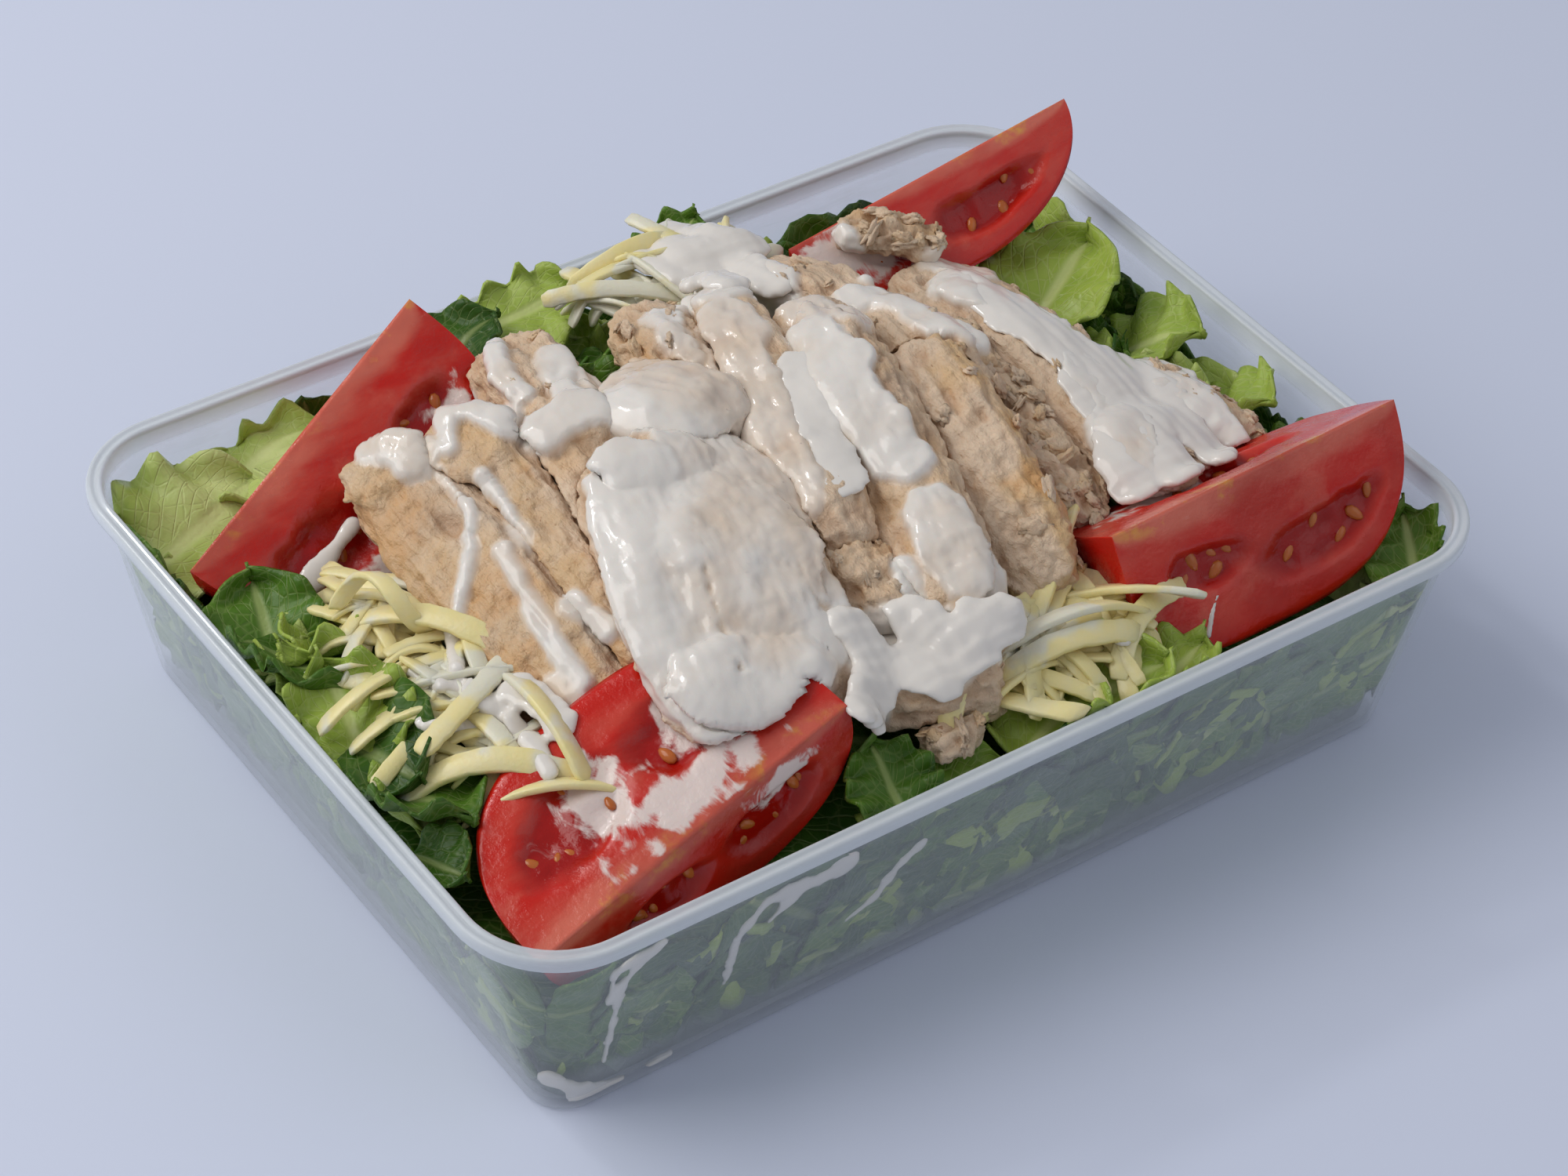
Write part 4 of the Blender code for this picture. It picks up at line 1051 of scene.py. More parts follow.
class SALAD_OT_chicken(Operator):
    """Sliced chicken with torn fibres, browned edges and a coat of dressing"""
    bl_idname = "salad.chicken"
    bl_label = "Chicken Slices"

    def execute(self, context):
        settings, dressing = context.scene.salad_chicken, context.scene.salad_dressing
        mat = self.finish(settings, dressing)
        tree = tree_of(*FOOD)
        coats = [(width, body, np.array([tuple(hit) for hit, normal in laid(path, tree)]))
                 for width, body, path in COATS]
        for number, node in enumerate(SLICES):
            obj = remeshed(node.replace("chicken", "meat"), solid_copy(node),
                           settings.voxel / MM, RELAX_ROUNDS)
            self.relief(obj.data, node, number, settings, dressing, coats)
            set_material(obj, mat)
            hand_over(obj, "chicken", node)
        shapes = [flake_shape(f"flake_{number}", number) for number in range(FLAKE_KINDS)]
        hand_over(scatter("meat_flakes", self.flakes(), shapes, mat), "chicken")
        discard(shapes)
        return {"FINISHED"}

    def flakes(self):
        chance = random.Random(SEED + 80)
        found = []
        for node, count in FLAKES.items():
            for place, normal in on_surface(chance, node, count, 0.15):
                heading = Vector((chance.uniform(-1, 1), chance.uniform(-1.5, 0.5),
                                  chance.uniform(-0.4, 0.4)))
                lean = normal + Vector([chance.uniform(-0.45, 0.45) for axis in range(3)])
                found.append(dict(place=place + normal * 0.1, matrix=frame_of(heading, lean),
                                  kind=chance.randrange(FLAKE_KINDS),
                                  size=chance.uniform(0.55, 1.15),
                                  browned=chance.choice((0, 0, 0.1, 0.25, 0.5))))
        return found

    def coverage(self, points, normals, coats):
        """How far inside the dressing's outline each point lies, in millimetres, and its body."""
        drip = points * (1, 1, 0.45)
        waver = COAT_WAVER * rough_field(drip, 7.0, 5) + 0.9 * rough_field(drip, 2.6, 6)
        inside, total = np.full(len(points), -9.0), np.zeros(len(points))
        weight = np.full(len(points), 1e-6)
        low, high = points.min(0), points.max(0)
        for width, body, spots in coats:
            reach = width + 4
            if not len(spots):
                continue
            near = spots[np.all((spots > low - reach) & (spots < high + reach), axis=1)]
            if not len(near):
                continue
            away = np.full(len(points), 1e9)
            for spot in near:
                away = np.minimum(away, ((points - spot) ** 2).sum(1))
            depth = width - np.sqrt(away) + waver * min(1, width / 4)
            share = np.exp(np.clip(depth, -6, 6) / 1.2)
            total += share * body
            weight += share
            inside = np.maximum(inside, depth)
        thick = total / weight
        return inside - 3.0 * np.maximum(0, -0.1 - normals[:, 2]), thick

    def relief(self, mesh, node, number, settings, dressing, coats):
        points, normals = mesh_arrays(mesh)
        offsets = points - points.mean(0)
        axes = np.linalg.svd(offsets[:: max(1, len(offsets) // 4000)], full_matrices=False)[2]
        along = axes[0] * (-1 if axes[0][1] > 0 else 1)
        side = np.cross(along, (0, 0, 1.0))
        side /= np.linalg.norm(side)
        grain = np.stack([offsets @ along, offsets @ side, offsets @ np.cross(side, along)], 1)
        torn, brown, brown_side = SLICES[node]

        inside, body = self.coverage(points, normals, coats)
        coat = smooth_step(-0.15, 0.45, inside)
        pooled = np.clip(0.5 + rough_field(points, 7.0, 30), 0, 1)
        thick = np.clip(body * (0.55 + 0.9 * pooled), 0, 1)

        strands = rough_field(grain * (0.22, 1, 1), 1.5, number + 60)
        grooves = np.abs(rough_field(grain * (0.16, 1, 1), 1.9, number + 65))
        fibres = 0.5 * strands + 0.35 - 1.5 * grooves
        crumbs = np.abs(rough_field(points, 3.2, number + 80))
        flakes = rough_field(grain * (0.45, 1, 1.0), 4.5, number + 70)
        ledges = np.abs(flakes * 4 - np.round(flakes * 4)) * 0.5
        lumps = rough_field(points, 9.0, number + 20)
        bare = 1 - 0.88 * coat * (0.4 + 0.6 * thick)
        move = 0.7 * lumps + bare * ((flakes + ledges) * (0.3 + 0.8 * torn)
                                     + settings.fibre / MM * fibres * (0.4 + 0.8 * torn)
                                     - (0.10 + 1.1 * torn) * 2.4 * np.maximum(crumbs - 0.10, 0))
        bead = smooth_step(0.0, 1.3, inside) * (0.35 + 0.85 * thick)
        move += dressing.thickness / MM * bead * np.clip(0.45 + normals[:, 2], 0.2, 1)
        set_points(mesh, points + normals * move[:, None])

        edge = 0.7 * rough_field(points, 7.0, number + 90) + 0.35 * normals[:, 2]
        edge += 0.75 * brown_side * (normals @ side)
        set_value(mesh, "dressing", coat)
        set_value(mesh, "thick", thick * smooth_step(0, 1.2, inside))
        set_value(mesh, "browned", smooth_step(0.0, 0.75, edge) * brown)
        # Relief of fibres, flakes and cracks; the finish paints shade where it is low
        cracks = 1.6 * np.maximum(crumbs - 0.12, 0) * (0.3 + torn)
        set_value(mesh, "fibres", fibres + 0.5 * flakes - cracks)

    def finish(self, settings, dressing):
        shading = Shading("chicken")
        coat, browned = shading.value("dressing"), shading.value("browned")
        mottle = shading.band(shading.noise(140, 5, 0.65), 0.35, 0.7)
        # Painted shade: darker brown in the grooves and cracks of the torn meat
        groove_shade = shading.band(shading.value("fibres"), -0.9, 0.2, 0.6, 0.0)
        patchy = shading.band(shading.noise(210, 5, 0.6), 0.3, 0.6, 0.35, 1.0)
        golden = shading.band(shading.noise(85, 4, 0.6), 0.50, 0.66, 0.0, 0.8)
        spots = shading.band(shading.noise(520, 2, 0.5), 0.73, 0.77)
        cream = shading.blend(shading.band(shading.noise(70, 2), 0.3, 0.7), dressing.colour,
                              scaled(dressing.colour, 0.965))
        veil = shading.plus(shading.band(shading.value("thick"), 0.0, 0.75, 0.42, 1.0),
                            shading.band(shading.noise(110, 3), 0.35, 0.7, -0.12, 0.16))
        base = shading.layers(
            shading.blend(mottle, scaled(settings.flesh, 0.88), scaled(settings.flesh, 1.12)),
            (groove_shade, (0.46, 0.26, 0.14)), (shading.times(browned, patchy), settings.tan),
            (shading.times(golden, browned), (0.66, 0.34, 0.12)),
            (shading.times(spots, 0.7), settings.brown),
            (shading.calc("MINIMUM", shading.times(coat, veil), 1.0), cream))
        grain = shading.noise(1100, 4, 0.65, shading.stretch((1.0, 0.3, 1.0)))
        bare = shading.band(coat, 0.1, 0.9, 0.9, 0.05)
        fine = shading.bump(grain, bare, 0.45)
        shading.put(Base_Color=base, Roughness=shading.band(coat, 0.2, 0.9, 0.48, 0.16),
                    Normal=shading.bump(shading.noise(420, 5), bare, 0.9, fine))
        shading.glow(0.12, (0.003, 0.0015, 0.001))
        return shading.mat


# Runs of dressing that lie on cheese, leaves and tomato: half-width, thickness and path
DRIPS = (
    (3.6, 0.8, ((1235, 362), (1300, 412), (1362, 462), (1412, 535), (1448, 622))),
    (4.2, 0.9, ((1262, 380), (1335, 420), (1400, 462), (1455, 530), (1492, 600))),
    (3.8, 0.8, ((1430, 470), (1470, 500), (1510, 540), (1548, 580))),
    (3.6, 0.8, ((1018, 470), (1046, 540), (1072, 615))),
    (3.0, 0.9, ((1085, 800), (1120, 850), (1105, 905))),
    (3.4, 0.9, ((1150, 790), (1205, 820), (1262, 800))),
    (0.7, 0.5, ((1551, 760), (1545, 784), (1541, 810))),
    (1.5, 1.0, ((575, 790), (580, 830), (585, 870), (600, 895))),
    (1.8, 0.9, ((600, 880), (630, 905), (660, 925))),
    (1.6, 0.8, ((660, 930), (685, 955), (700, 985))),
    (1.8, 0.8, ((500, 905), (545, 925), (600, 925))),
    (2.2, 1.0, ((660, 880), (690, 900), (715, 925))),
    (1.6, 0.9, ((520, 855), (545, 870), (580, 880))),
    (1.8, 0.8, ((395, 745), (420, 710), (450, 670))),
    (1.4, 0.9, ((1095, 880), (1112, 915))),
    (3.2, 1.1, ((1150, 850), (1205, 860), (1240, 835))),
    (2.6, 1.0, ((1250, 810), (1285, 790))),
    (1.5, 0.9, ((1400, 770), (1410, 800), (1430, 815))),
    (2.8, 1.2, ((850, 300), (900, 296), (955, 312))),
    (3.2, 1.2, ((880, 325), (935, 335), (985, 365))),
    (2.2, 1.1, ((815, 330), (845, 345), (880, 362))),
    (3.0, 1.3, ((855, 315), (890, 345), (930, 362))),
)
# The same for runs on the inside of the front and left walls
WALL_RUNS = (
    (1.2, 0.5, ((852, 1210), (822, 1236), (800, 1262), (790, 1300), (776, 1360))),
    (0.9, 0.5, ((830, 1222), (790, 1250), (780, 1290))),
    (1.5, 0.45, ((1088, 1108), (1052, 1128), (985, 1156), (946, 1205), (930, 1262))),
    (1.0, 0.45, ((1030, 1136), (1000, 1170), (985, 1185))),
    (1.1, 0.45, ((1182, 1082), (1150, 1112), (1122, 1150), (1085, 1180))),
    (1.5, 0.6, ((700, 1385), (750, 1402), (815, 1378), (860, 1350))),
)
DRIP_RELAX = 5
# Lattice of the draped dressing, how far it bridges and how fast it falls there, in millimetres
DRAPE_STEP = 1.0
DRAPE_REACH = 5.0
DRAPE_FALL = 0.09
# Runs narrower than this are one line of drops
NARROW = 1.9
DROP_RADIUS = 1.3
DROP_STEP = 0.7


def across(normal):
    """Rotation with local Z along a surface's normal."""
    return frame_of(Vector((0.3, 0.2, 1)) if abs(normal.z) < 0.8 else Vector((1, 0, 0)), normal)


def spheres(drops):
    """Flattened spheres in one bmesh: place, turn, radius and thickness of each, in millimetres."""
    bm = bmesh.new()
    bmesh.ops.create_icosphere(bm, subdivisions=2, radius=1.0)
    unit = np.array([vert.co[:] for vert in bm.verts])
    corners = np.array([[vert.index for vert in face.verts] for face in bm.faces])
    bm.free()
    verts = [(unit * (radius, radius, thick)) @ np.array(turn).T + np.array(place)
             for place, turn, radius, thick in drops]
    faces = [corners + len(unit) * index for index in range(len(drops))]
    mesh = bpy.data.meshes.new("drops")
    mesh.from_pydata((np.concatenate(verts) * MM).tolist(), [], np.concatenate(faces).tolist())
    bm = bmesh.new()
    bm.from_mesh(mesh)
    bpy.data.meshes.remove(mesh)
    return bm


class Drape:
    """Heights at which poured dressing lies on the food and bridges its gaps."""

    def __init__(self, tree, half_length, half_depth):
        self.half = np.array((half_length, half_depth))
        columns, rows = (int(2 * half / DRAPE_STEP) + 1 for half in self.half)
        found = np.zeros((columns, rows))
        for column in range(columns):
            for row in range(rows):
                top = Vector((column * DRAPE_STEP - half_length, row * DRAPE_STEP - half_depth, 90))
                hit = tree.ray_cast(top, -UP)[0]
                found[column, row] = hit.z if hit is not None else 0
        reach = int(DRAPE_REACH / DRAPE_STEP)
        padded = np.pad(found, reach)
        best = found.copy()
        for column in range(2 * reach + 1):
            for row in range(2 * reach + 1):
                away = math.hypot(column - reach, row - reach) * DRAPE_STEP
                moved = padded[column:column + columns, row:row + rows]
                if away <= DRAPE_REACH:
                    best = np.maximum(best, moved - DRAPE_FALL * away ** 2)
        for axis in (0, 1, 0, 1):
            best = 0.5 * best + 0.25 * (np.roll(best, 1, axis) + np.roll(best, -1, axis))
        self.heights = best

    def height(self, places):
        cells = np.rint((places[:, :2] + self.half) / DRAPE_STEP).astype(int)
        cells = np.clip(cells, 0, np.array(self.heights.shape) - 1)
        return self.heights[cells[:, 0], cells[:, 1]]

    def seen_at(self, px, py):
        """Place on the draped surface that the camera sees at a place in its frame."""
        start, heading = sight(px, py)
        drops = np.arange(75, 20, -0.2)
        places = np.array(start) + np.array(heading) * ((drops - start.z) / heading.z)[:, None]
        return places[np.argmax(drops <= self.height(places))]

    def run(self, path, step=5.0):
        return np.array([self.seen_at(px, py) for px, py in stepped(path, step)])


class SALAD_OT_dressing(Operator):
    """Fingers, pools and streaks of dressing on cheese, tomato, leaves and wall"""
    bl_idname = "salad.dressing"
    bl_label = "Dressing"

    def execute(self, context):
        settings = context.scene.salad_dressing
        mat = self.finish(settings)
        food = tree_of(*FOOD)
        tub = context.scene.salad_tub
        drape = Drape(food, tub.rim_length / 2 / MM, tub.rim_depth / 2 / MM)
        for name, drops in (("dressing_drips", self.food_drops(food, drape)),
                            ("dressing_on_wall", self.wall_drops(tub.wall / MM + 0.5))):
            obj = remeshed(name, spheres(drops), settings.voxel / MM, DRIP_RELAX)
            points = mesh_arrays(obj.data)[0]
            set_points(obj.data, kept_inside(points, tub, tub.wall / MM + 0.05))
            set_material(obj, mat)
            hand_over(obj, "dressing")
        return {"FINISHED"}

    def food_drops(self, food, drape):
        """Place, turn, radius and thickness of the drops that make up the runs on the food."""
        drops = []
        for number, (width, thick, path) in enumerate(DRIPS):
            if width < NARROW:
                hits = laid(path, food, 5.0)
                waves = rough_field(np.array([hit for hit, normal in hits]), 4.0, number)
                drops += [(hit + normal * thick * 0.15, across(normal),
                           width * (0.9 + 0.6 * wave), thick)
                          for (hit, normal), wave in zip(hits, waves)]
                continue
            run = drape.run(path)
            low, high = run.min(0) - width * 1.5, run.max(0) + width * 1.5
            grid = np.array([(x, y, 0.0) for x in np.arange(low[0], high[0], DROP_STEP)
                             for y in np.arange(low[1], high[1], DROP_STEP)])
            away = np.sqrt(((grid[:, None, :2] - run[None, :, :2]) ** 2).sum(2).min(1))
            reach = width * (0.92 + 0.5 * rough_field(grid, 5.0, number)) - 0.4 * DROP_RADIUS
            share = away / reach
            waves = rough_field(grid * (1, 0.4, 1), 3.0, number)
            lift = drape.height(grid) + 0.1 * thick + 0.5 * waves
            for place, part, z in zip(grid, share, lift):
                if 0 <= part < 1:
                    drops.append(((place[0], place[1], z), Matrix.Identity(3), DROP_RADIUS,
                                  thick * (0.5 + 0.5 * math.sqrt(1 - part * part))))
        return drops

    def wall_drops(self, step_in):
        """The same for the runs inside the wall."""
        tree, drops = tree_of("tub"), []
        for number, (width, thick, path) in enumerate(WALL_RUNS):
            hits = laid(path, tree, 5.0)
            for index, (hit, normal) in enumerate(hits):
                blot = float(rough_field(np.array([hit]), 2.2, number + 9)[0])
                swell = mix(1.5, 0.6, index / len(hits)) * (0.55 + 1.6 * abs(blot))
                place = hit - normal * (step_in - thick * 0.15)
                drops.append((place, across(normal), width * swell, thick))
        return drops

    def finish(self, settings):
        shading = Shading("dressing")
        base = shading.blend(shading.band(shading.noise(120, 3), 0.35, 0.7), settings.colour,
                             scaled(settings.colour, 0.95))
        shading.put(Base_Color=base, Roughness=0.15,
                    Normal=shading.bump(shading.noise(300, 2), 0.15, 0.4))
        shading.glow(0.15, (0.003, 0.0025, 0.002))
        return shading.mat


# Grated cheese

# Low mounds of shreds: centre and half sizes
CHEESE = {
    "cheese_left": dict(centre=(-60, -8, 35.5), size=(10.5, 25, 4.5), strips=62),
    "cheese_right": dict(centre=(10, -43.5, 35.5), size=(20, 9, 4.5), strips=52),
    "cheese_back": dict(centre=(11, 44, 42), size=(14, 9, 5.5), strips=34),
}
SHRED_STEPS = 18
# Kinds of shred: length, bend up and down, bend sideways and twist in radians
SHRED_KINDS = (
    (20, 0.5, 0.3, 0.1), (25, 1.2, -0.6, 0.5), (29, 1.6, 0.9, -0.6), (23, 0.9, -1.2, 0.8),
    (17, 2.2, 0.4, 0.2), (27, 0.7, 0.5, -0.9), (22, 5.6, 0.1, 0.5), (15, 0.4, -0.3, 0.0))
# Share of each cluster that is smeared with dressing
CREAMED = {"cheese_left": 0.3, "cheese_right": 0.15, "cheese_back": 0.75}
# Shreds that stand out: place, turn about the vertical, tilt, kind and size
BOLD_SHREDS = {
    "cheese_left": (((-63.5, 5.5, 42.5), 60, 10, 6, 1.0), ((-61, 0, 41), -70, 12, 1, 1.15),
                    ((-67, -27, 38), -50, 16, 3, 1.2), ((-57, -22, 41), -95, 10, 2, 1.1),
                    ((-64, -16, 41), 20, 4, 0, 1.1), ((-62, -34, 37), -30, 10, 2, 1.0)),
    "cheese_right": (((15, -47, 41), -10, 5, 2, 1.1), ((3, -45, 41), 12, 4, 1, 1.2),
                     ((24, -44, 40), -42, 18, 5, 1.1), ((28, -50, 38.5), 8, 6, 3, 1.1),
                     ((10, -50, 39.5), -20, 10, 1, 1.2), ((20, -37, 42), 40, 10, 5, 1.0)),
    "cheese_back": (((2, 48, 45.5), 170, 2, 1, 0.9), ((0, 43, 46), 150, 2, 5, 0.9)),
}


def shred(name, length, bend, sweep, twist, width, thick):
    """Flat ribbon bent up and sideways, with cut ends."""
    chance = random.Random(int(length * 10))
    start = Matrix.Rotation(-sweep / 2, 3, "Z") @ Matrix.Rotation(-bend / 2, 3, "Y")
    centre, heading, up = Vector((0, 0, 0)), start @ Vector((1, 0, 0)), start @ Vector((0, 0, 1))
    piece = length / SHRED_STEPS
    line = []
    for step in range(SHRED_STEPS + 1):
        line.append((centre.copy(), heading.copy(), up.copy()))
        centre += heading * piece
        side = up.cross(heading)
        turn = (Matrix.Rotation(bend / SHRED_STEPS, 3, side)
                @ Matrix.Rotation(sweep / SHRED_STEPS, 3, up))
        heading, up = turn @ heading, turn @ up
        up = Matrix.Rotation(twist / SHRED_STEPS, 3, heading) @ up
        centre.y += 0.10 * bend * piece
    middle = sum((spot for spot, heading, up in line), Vector()) / len(line)
    verts = []
    for step, (spot, heading, up) in enumerate(line):
        side = up.cross(heading)
        taper = 0.72 if step in (0, SHRED_STEPS) else 1.0
        wide, high = width * taper * chance.uniform(0.90, 1.08) / 2, thick * taper / 2
        for y, z in ((-1, -1), (1, -1), (1, 1), (-1, 1)):
            verts.append(tuple(spot - middle + side * y * wide + up * z * high))
    faces = [tuple(reversed(face)) for face in grid_faces(SHRED_STEPS + 1, 4, closed=True)]
    faces += [(0, 1, 2, 3), tuple(reversed(range(len(verts) - 4, len(verts))))]
    obj = store(name, verts, faces, None)
    faced_out(obj.data)
    bevel = obj.modifiers.new("soft", "BEVEL")
    bevel.width = 0.2 * MM
    bevel.segments = 1
    baked(obj)
    return obj


class SALAD_OT_cheese(Operator):
    """Three clusters of grated cheese"""
    bl_idname = "salad.cheese"
    bl_label = "Grated Cheese"

    def execute(self, context):
        settings = context.scene.salad_cheese
        tub = context.scene.salad_tub
        mat = self.finish(settings)
        width, thick = settings.width / MM, settings.thickness / MM
        shapes = [shred(f"shred_{number}", *kind, width, thick)
                  for number, kind in enumerate(SHRED_KINDS)]
        for number, (node, sizes) in enumerate(CHEESE.items()):
            spots = self.spots(number, node, **sizes)
            for spot in spots:
                spot["cream"] = CREAMED[node]
            obj = scatter(node.replace("cheese", "grated"), spots, shapes, mat)
            set_points(obj.data, kept_inside(mesh_arrays(obj.data)[0], tub, tub.wall / MM + 0.1))
            hand_over(obj, "cheese", node)
        discard(shapes)
        return {"FINISHED"}

    def spots(self, number, node, centre, size, strips):
        chance = random.Random(SEED + 30 + number)
        blockers = tree_of("chicken", "tomato")
        found = []
        for place, yaw, pitch, kind, scale in BOLD_SHREDS[node]:
            matrix = Euler((0, -math.radians(pitch), math.radians(yaw))).to_matrix()
            found.append(dict(place=place, matrix=matrix, kind=kind, size=scale, tone=0.6))
        for _ in range(strips * 8):
            if len(found) >= strips:
                break
            turn, out = chance.uniform(0, 2 * math.pi), math.sqrt(chance.random())
            x = centre[0] + size[0] * out * math.cos(turn)
            y = centre[1] + size[1] * out * math.sin(turn)
            z = centre[2] + size[2] * math.sqrt(max(0, 1 - out * out)) * chance.uniform(0.2, 0.9)
            roof = blockers.ray_cast(Vector((x, y, 80)), -UP)[0]
            if roof is not None and roof.z > z + 1:
                continue
            matrix = Euler((chance.uniform(-0.5, 0.5), chance.uniform(-0.12, 0.12),
                            chance.uniform(0, 2 * math.pi))).to_matrix()
            found.append(dict(place=(x, y, z + 0.6), matrix=matrix,
                              kind=chance.choice((0, 1, 2, 3, 4, 5, 7)),
                              size=chance.uniform(0.7, 1.0), tone=chance.random()))
        return found

    def finish(self, settings):
        shading = Shading("cheese")
        smear = shading.plus(shading.noise(75, 3), shading.times(shading.value("cream"), 0.25))
        base = shading.layers(
            shading.blend(shading.value("tone"), scaled(settings.colour, 0.93),
                          scaled(settings.colour, 1.06)),
            (shading.band(shading.noise(260, 4), 0.4, 0.7, 0.0, 0.5), (0.86, 0.78, 0.50)),
            (shading.band(smear, 0.60, 0.68, 0.0, 0.85), (0.80, 0.78, 0.66)))
        shading.put(Base_Color=base, Roughness=0.36,
                    Normal=shading.bump(shading.noise(1400, 3), 0.4, 0.2))
        shading.glow(0.2, (0.003, 0.002, 0.001))
        return shading.mat


# Lettuce

# Leaves that stand out of the heap: centre, heading, tilt, roll, length and tone
LEAVES = [
    ((-70, 46, 30), 20, 6, 10, 24, 0.85),
    ((-75, 20, 33), 75, 20, -12, 16, 0.3),
    ((-76.5, 8, 35), -75, 8, -25, 18, 0.15),
    ((-76, -4, 35), 80, 14, -18, 17, 0.6),
    ((-76.5, -14, 35), -80, 12, 20, 18, 0.1),
    ((-76, -24, 35), -70, 16, -18, 18, 0.2),
    ((-79.5, -34, 33), -75, 14, 18, 10, 0.15),
    ((-55, 54, 31), 5, 12, -10, 20, 0.8),
    ((-22, 52.5, 39), 12, 22, -15, 15, 0.1),
    ((-9, 54.5, 39), -4, 10, 10, 17, 0.7),
    ((19, 55.5, 40), 18, 25, 0, 11, 0.3),
    ((68, 21, 36), 25, 18, -10, 20, 0.7),
    ((73, 3, 34), -65, 36, 10, 17, 0.65),
    ((73.5, -16, 34), -80, 40, 8, 15, 0.7),
    ((74.5, -27, 33), -80, 30, 0, 12, 0.55),
    ((8, -55.5, 34), 12, 10, -12, 16, 0.7),
    ((18, -55.5, 34.5), -8, 14, 8, 17, 0.75),
    ((28, -56.5, 33), 14, 8, -8, 14, 0.7),
    ((77, -52, 30), 60, 14, -10, 14, 0.4),
    ((-21, -54, 35), 80, 20, 0, 12, 0.2),
    ((-9, -57, 31), 6, 8, 10, 13, 0.5),
]
# Rows and columns of a leaf on top, of one against the wall and of the core
LEAF_GRID = (26, 12)
WALL_LEAF_GRID = (17, 8)
CORE_GRID = (90, 66)
# Least distance of a wall leaf's middle from the ends of its wall
WALL_MARGIN = 9
LEAF_SHAPES = 8
TOP_LEAVES = 130
WALL_LEAVES = 190
SALAD_LEVEL = 28.0
# Lower edge of the leaves and top of the grey strip of painted shade along the base
LEAF_FLOOR = 3.6
BASE_SHADE_TOP = 8.0


def salad_level(x, y):
    """Height of the bare heap under its leaves."""
    mound = math.exp(-((x + 2) / 52) ** 2 - ((y + 2) / 40) ** 2)
    level = SALAD_LEVEL + 14 * mound
    level -= 7 * math.exp(-((x + 74) / 20) ** 2 - ((y - 54) / 18) ** 2)
    level -= 5 * math.exp(-((x - 78) / 14) ** 2)
    level -= 5 * math.exp(-((x - 60) / 26) ** 2 - ((y - 52) / 16) ** 2)
    return level


def leaf_shape(name, number, flat):
    """Torn romaine leaf of unit length in metres: cupped and frilled."""
    chance = random.Random(SEED * 5 + number)
    rows, columns = WALL_LEAF_GRID if flat else LEAF_GRID
    bend, frill = chance.uniform(-0.5, 0.7), chance.uniform(0.04, 0.09)
    waves, phase, cup = chance.uniform(2.2, 4.2), chance.uniform(0, 6.28), chance.uniform(0.1, 0.5)
    rim = np.array([[row / rows * 4, side * 3.0, number]
                    for side in (-1, 1) for row in range(rows + 1)])
    ragged = (1 + 0.16 * rough_field(rim, 2.2, number, 2)).reshape(2, rows + 1)
    ends = np.array([[column * 0.5, 0, number] for column in range(columns + 1)])
    torn = 0.9 + 0.12 * rough_field(ends, 1.0)
    if flat:
        bend, frill, cup = bend * 0.5, frill * 1.2, cup * 0.4
    verts, uvs = [], []
    for row in range(rows + 1):
        u = row / rows
        half = 0.5 * (math.sin(math.pi * min(1, 0.12 + u * 0.92)) ** 0.6)
        for column in range(columns + 1):
            v = column / columns * 2 - 1
            x = (u - 0.5) * mix(1, torn[column], u ** 3)
            y = v * half * mix(1, ragged[int(v > 0)][row], abs(v))
            z = cup * v * v * 0.35 - bend * (u - 0.5) ** 2
            z += frill * abs(v) ** 1.5 * math.sin(waves * 6.28 * u + phase + (1.3 if v > 0 else 0))
            z += 0.3 * frill * abs(v) ** 3 * math.sin(1.6 * waves * 6.28 * u + 2 * phase)
            z += 0.018 * math.sin(9 * x + 6 * v + phase)
            verts.append((x, y, z))
            uvs.append((u, v * 0.5 + 0.5))
    faces = grid_faces(rows + 1, columns + 1)
    return store(name, np.array(verts), faces, None, uvs)


